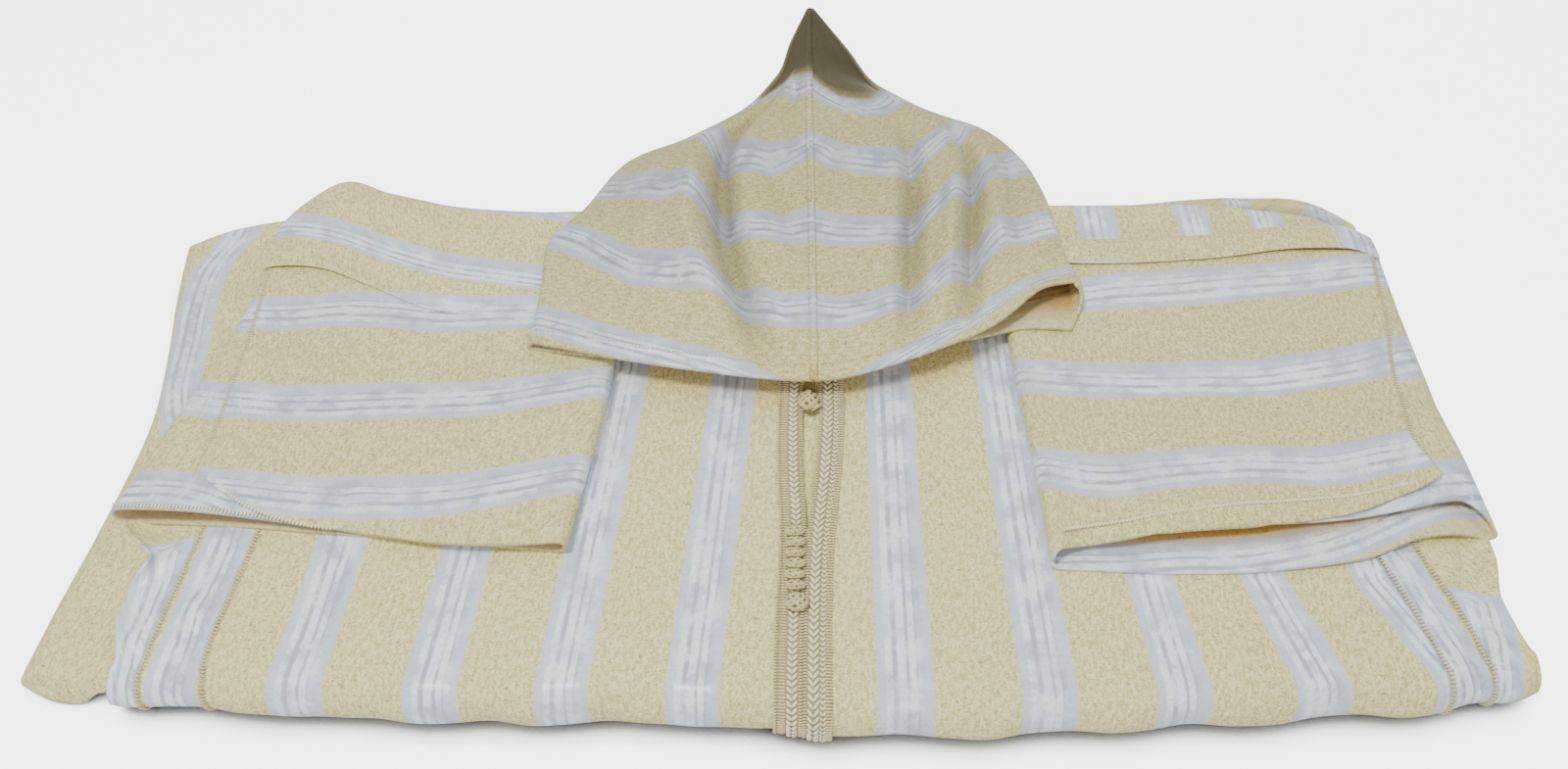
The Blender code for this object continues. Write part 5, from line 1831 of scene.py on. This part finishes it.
@dataclass(frozen=True)
class WoundKnot:
    """A knot wound from cord: rings laid over a flattened ball, each tilted its own way."""

    node: str
    x: float
    y: float
    lift: float
    size: tuple[float, float, float]  # half its length, width and height
    cord: float  # its radius
    # per ring: tilt from lying flat and heading of that tilt in degrees, and how far out along its axis
    rings: tuple[tuple[float, float, float], ...]
    core: float = 0.9
    tail: tuple[float, float, float, float] | None = None  # from the knot's middle to its own, and heading
    braid: float = 0.16  # height of the braid under it
    steps: int = 28  # of a ring, and places round the cord
    around: int = 8
    ball: tuple[int, int] = (12, 9)  # places round the ball inside, and its rings

    def cords(self, centre: Array, ball: Array) -> Array:
        """The cord's points, by ring, step and place round it: circles on the ball, stretched to its size."""
        tilt, heading, out = np.array(self.rings).T[:, :, None]
        tilt, heading = np.radians(tilt), np.radians(heading)
        turn = np.linspace(0, 2 * np.pi, self.steps, endpoint=False)[None, :, None]
        axis = [np.sin(tilt) * np.cos(heading), np.sin(tilt) * np.sin(heading), np.cos(tilt)]
        axis = np.stack(axis, axis=-1)
        level = np.stack([-np.sin(heading), np.cos(heading), 0 * heading], axis=-1)
        circle = level * np.cos(turn) + np.cross(axis, level) * np.sin(turn)
        paths = centre + ball * (axis * out[..., None] + np.sqrt(1 - out**2)[..., None] * circle)
        return np.stack([cord_ring(path, centre, self.cord, self.around) for path in paths])

    def build(self, finishes: Finishes) -> Piece:
        """The cord's rings, the ball inside them, and a tail where the knot has one."""
        top = float(stack_top(np.array(self.x), np.array(self.y)))
        base = top + LAID + self.braid + self.lift + self.size[2]
        centre = np.array([self.x, self.y, base])
        ball = np.array(self.size) - self.cord * 0.8
        cords = self.cords(centre, ball)
        sides, rings = self.ball
        rise = np.linspace(-1, 1, rings)[None, :] * np.pi / 2 * 0.97
        around = np.arange(sides)[:, None] * 2 * np.pi / sides
        core = [np.cos(rise) * np.cos(around), np.cos(rise) * np.sin(around), np.sin(rise) + 0 * around]
        core = centre + np.stack(core, axis=-1) * (ball * self.core)
        quads, body = tube_quads(len(cords), self.steps, self.around, True), capped_quads(sides, rings)
        wound = len(quads)
        points = np.concatenate([cords.reshape(-1, 3), core.reshape(-1, 3)])
        quads = np.concatenate([quads, body + cords.size // 3])
        if self.tail is not None:
            dx, dy, to_x, to_y = self.tail
            place = centre + np.array([dx, dy, -0.1])
            heading, up = np.array([[to_x, to_y, 0.0]]), np.array([[0.0, 0.0, 1.0]])
            end = stitch_tubes(place[None], heading, up, 0.8, self.cord, 0.06)
            quads = np.concatenate([quads, tube_quads(1, TUBE_RINGS, TUBE_SIDES, False) + len(points)])
            points = np.concatenate([points, end.reshape(-1, 3)])
        # the ball inside is painted dark, standing in for the shade between the rings
        cloths = [finishes.threads[thread] for thread in (Thread.CORD, Thread.DEEP)]
        made = mesh_object(self.node + "_cord", points, quads, cloths)
        second_finish(made, wound, wound + len(body))
        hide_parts(self.node)
        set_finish(made, "braid")
        return made


TURNS_ROUND = (
    (68.0, 35.0, -0.68), (74.0, 38.0, -0.05), (66.0, 33.0, 0.6), (62.0, 130.0, -0.5), (66.0, 126.0, 0.12),
    (58.0, 134.0, 0.66), (8.0, 80.0, 0.0),
)  # fmt: skip
TURNS_FLAT = ((8.0, 90.0, 0.0), (64.0, 10.0, 0.55), (60.0, 190.0, 0.55), (52.0, 100.0, 0.25))


@dataclass
class Closing:
    """The knots and loops that close the neck slit."""

    loops: int = 6
    pitch: float = 0.62  # from one loop to the next, cm

    def build(self, finishes: Finishes) -> list[Piece]:
        """Six small knotted loops, a larger knot below them and one at the top with a tail."""
        size, tail = (0.5, 0.28, 0.28), (0.5, -0.42, 0.8, 0.72)
        knots = []
        for k in range(self.loops):
            x, y = -0.66 + 0.03 * (k % 2), -8.9 - self.pitch * k
            knots.append(WoundKnot(f"loop_{k + 1}", x, y, 0.02, size, 0.08, TURNS_FLAT, 0.72))
        knots += [
            WoundKnot("knot_low", -0.58, -13.0, 0.04, (0.58, 0.5, 0.36), 0.085, TURNS_ROUND, 0.84),
            WoundKnot("knot_top", 0.14, -0.62, -0.05, (0.58, 0.62, 0.46), 0.095, TURNS_ROUND, 0.84, tail),
        ]
        return [knot.build(finishes) for knot in knots]


@dataclass(frozen=True)
class Studio:
    """Floor, soft lights and the camera at the photograph's angle."""

    camera: tuple[float, float, float] = (0.006, -0.4418, 0.589)
    down: float = 53.0
    lens: float = 28.125
    floor: tuple[float, float] = (40.0, -0.0004)  # half its size and its height
    # per light: name, place, aim, size, power
    lights: tuple[tuple, ...] = (
        ("key", (-0.42, -0.28, 1.6), (0, 0, 0), 0.32, 23.4),
        ("front", (0.05, -1.25, 0.95), (0, -0.1, 0), 0.5, 7.0),
        ("fill", (0.9, 0.9, 1.1), (0, 0, 0), 0.8, 8.0),
    )

    def lay_floor(self) -> None:
        """The paper under the garment, which glows for the camera only, with a painted contact shadow where
        the garment lies.
        """
        half, z = self.floor
        mesh = bpy.data.meshes.new("studio_floor")
        corners = [(-half, -half, z), (half, -half, z), (half, half, z), (-half, half, z)]
        mesh.from_pydata(corners, [], [(0, 1, 2, 3)])
        paper, g, shader = new_material("pale_floor")
        shader.inputs["Roughness"].default_value = 0.9
        shader.inputs["Emission Color"].default_value = (1, 1, 1, 1)
        # painted contact shadow: the glow fades and the paper darkens where the garment lies close
        open_sky = g.add("ShaderNodeAmbientOcclusion", {"Distance": 0.02}, samples=8).outputs["AO"]
        seen = g.add("ShaderNodeLightPath").outputs["Is Camera Ray"]
        g.feed(shader.inputs["Emission Strength"], g.times(seen, g.span(open_sky, 0.4, 0.85, 0.0, 3.6)))
        dark, light = (0.03, 0.03, 0.03, 1), (0.8, 0.8, 0.8, 1)
        g.feed(shader.inputs["Base Color"], g.mix(g.span(open_sky, 0.3, 0.7), dark, light))
        mesh.materials.append(paper)
        linked("studio_floor", mesh)

    def build(self) -> None:
        """Sets up the floor, lights, world and camera."""
        self.lay_floor()
        world = bpy.context.scene.world or bpy.data.worlds.new("studio")
        bpy.context.scene.world = world
        world.use_nodes = True
        back = world.node_tree.nodes["Background"]
        back.inputs[0].default_value = (1.0, 1.0, 1.0, 1)
        back.inputs[1].default_value = 0.5
        for name, at, aim, size, power in self.lights:
            light = bpy.data.lights.new(name, "AREA")
            light.size, light.energy = size, power
            lamp = linked(name, light)
            lamp.location = at
            x, y, z = np.array(aim) - np.array(at)
            turns = np.arctan2(np.hypot(x, y), -z), 0.0, np.arctan2(-x, y)
            lamp.rotation_euler = [float(turn) for turn in turns]
        view = bpy.data.cameras.new("photo_camera")
        view.lens, view.sensor_width = self.lens, 36.0
        camera = linked("photo_camera", view)
        camera.location = self.camera
        camera.rotation_euler = (np.radians(90 - self.down), 0.0, 0.0)
        bpy.context.scene.camera = camera


def main() -> None:
    """Builds the studio and every sub-assembly in order, and reports each piece."""
    logging.basicConfig(level=logging.INFO, format="%(name)s: %(message)s")
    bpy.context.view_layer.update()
    Studio().build()
    finishes = Finishes()
    front, back = FrontBody(), BackBody()
    makers = [back, HiddenFolds(back), front, RIGHT_SLEEVE, LEFT_SLEEVE, *SHOULDERS, *HOOD]
    makers += [HoodSeam(*HOOD), NeckTrim(front), Closing()]
    for maker in makers:
        for piece in maker.build(finishes):
            LOG.info("%s: %d faces", piece.name, len(piece.data.polygons))
            if "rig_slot" not in piece:
                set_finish(piece, "cloth")


if __name__ == "__main__":
    main()
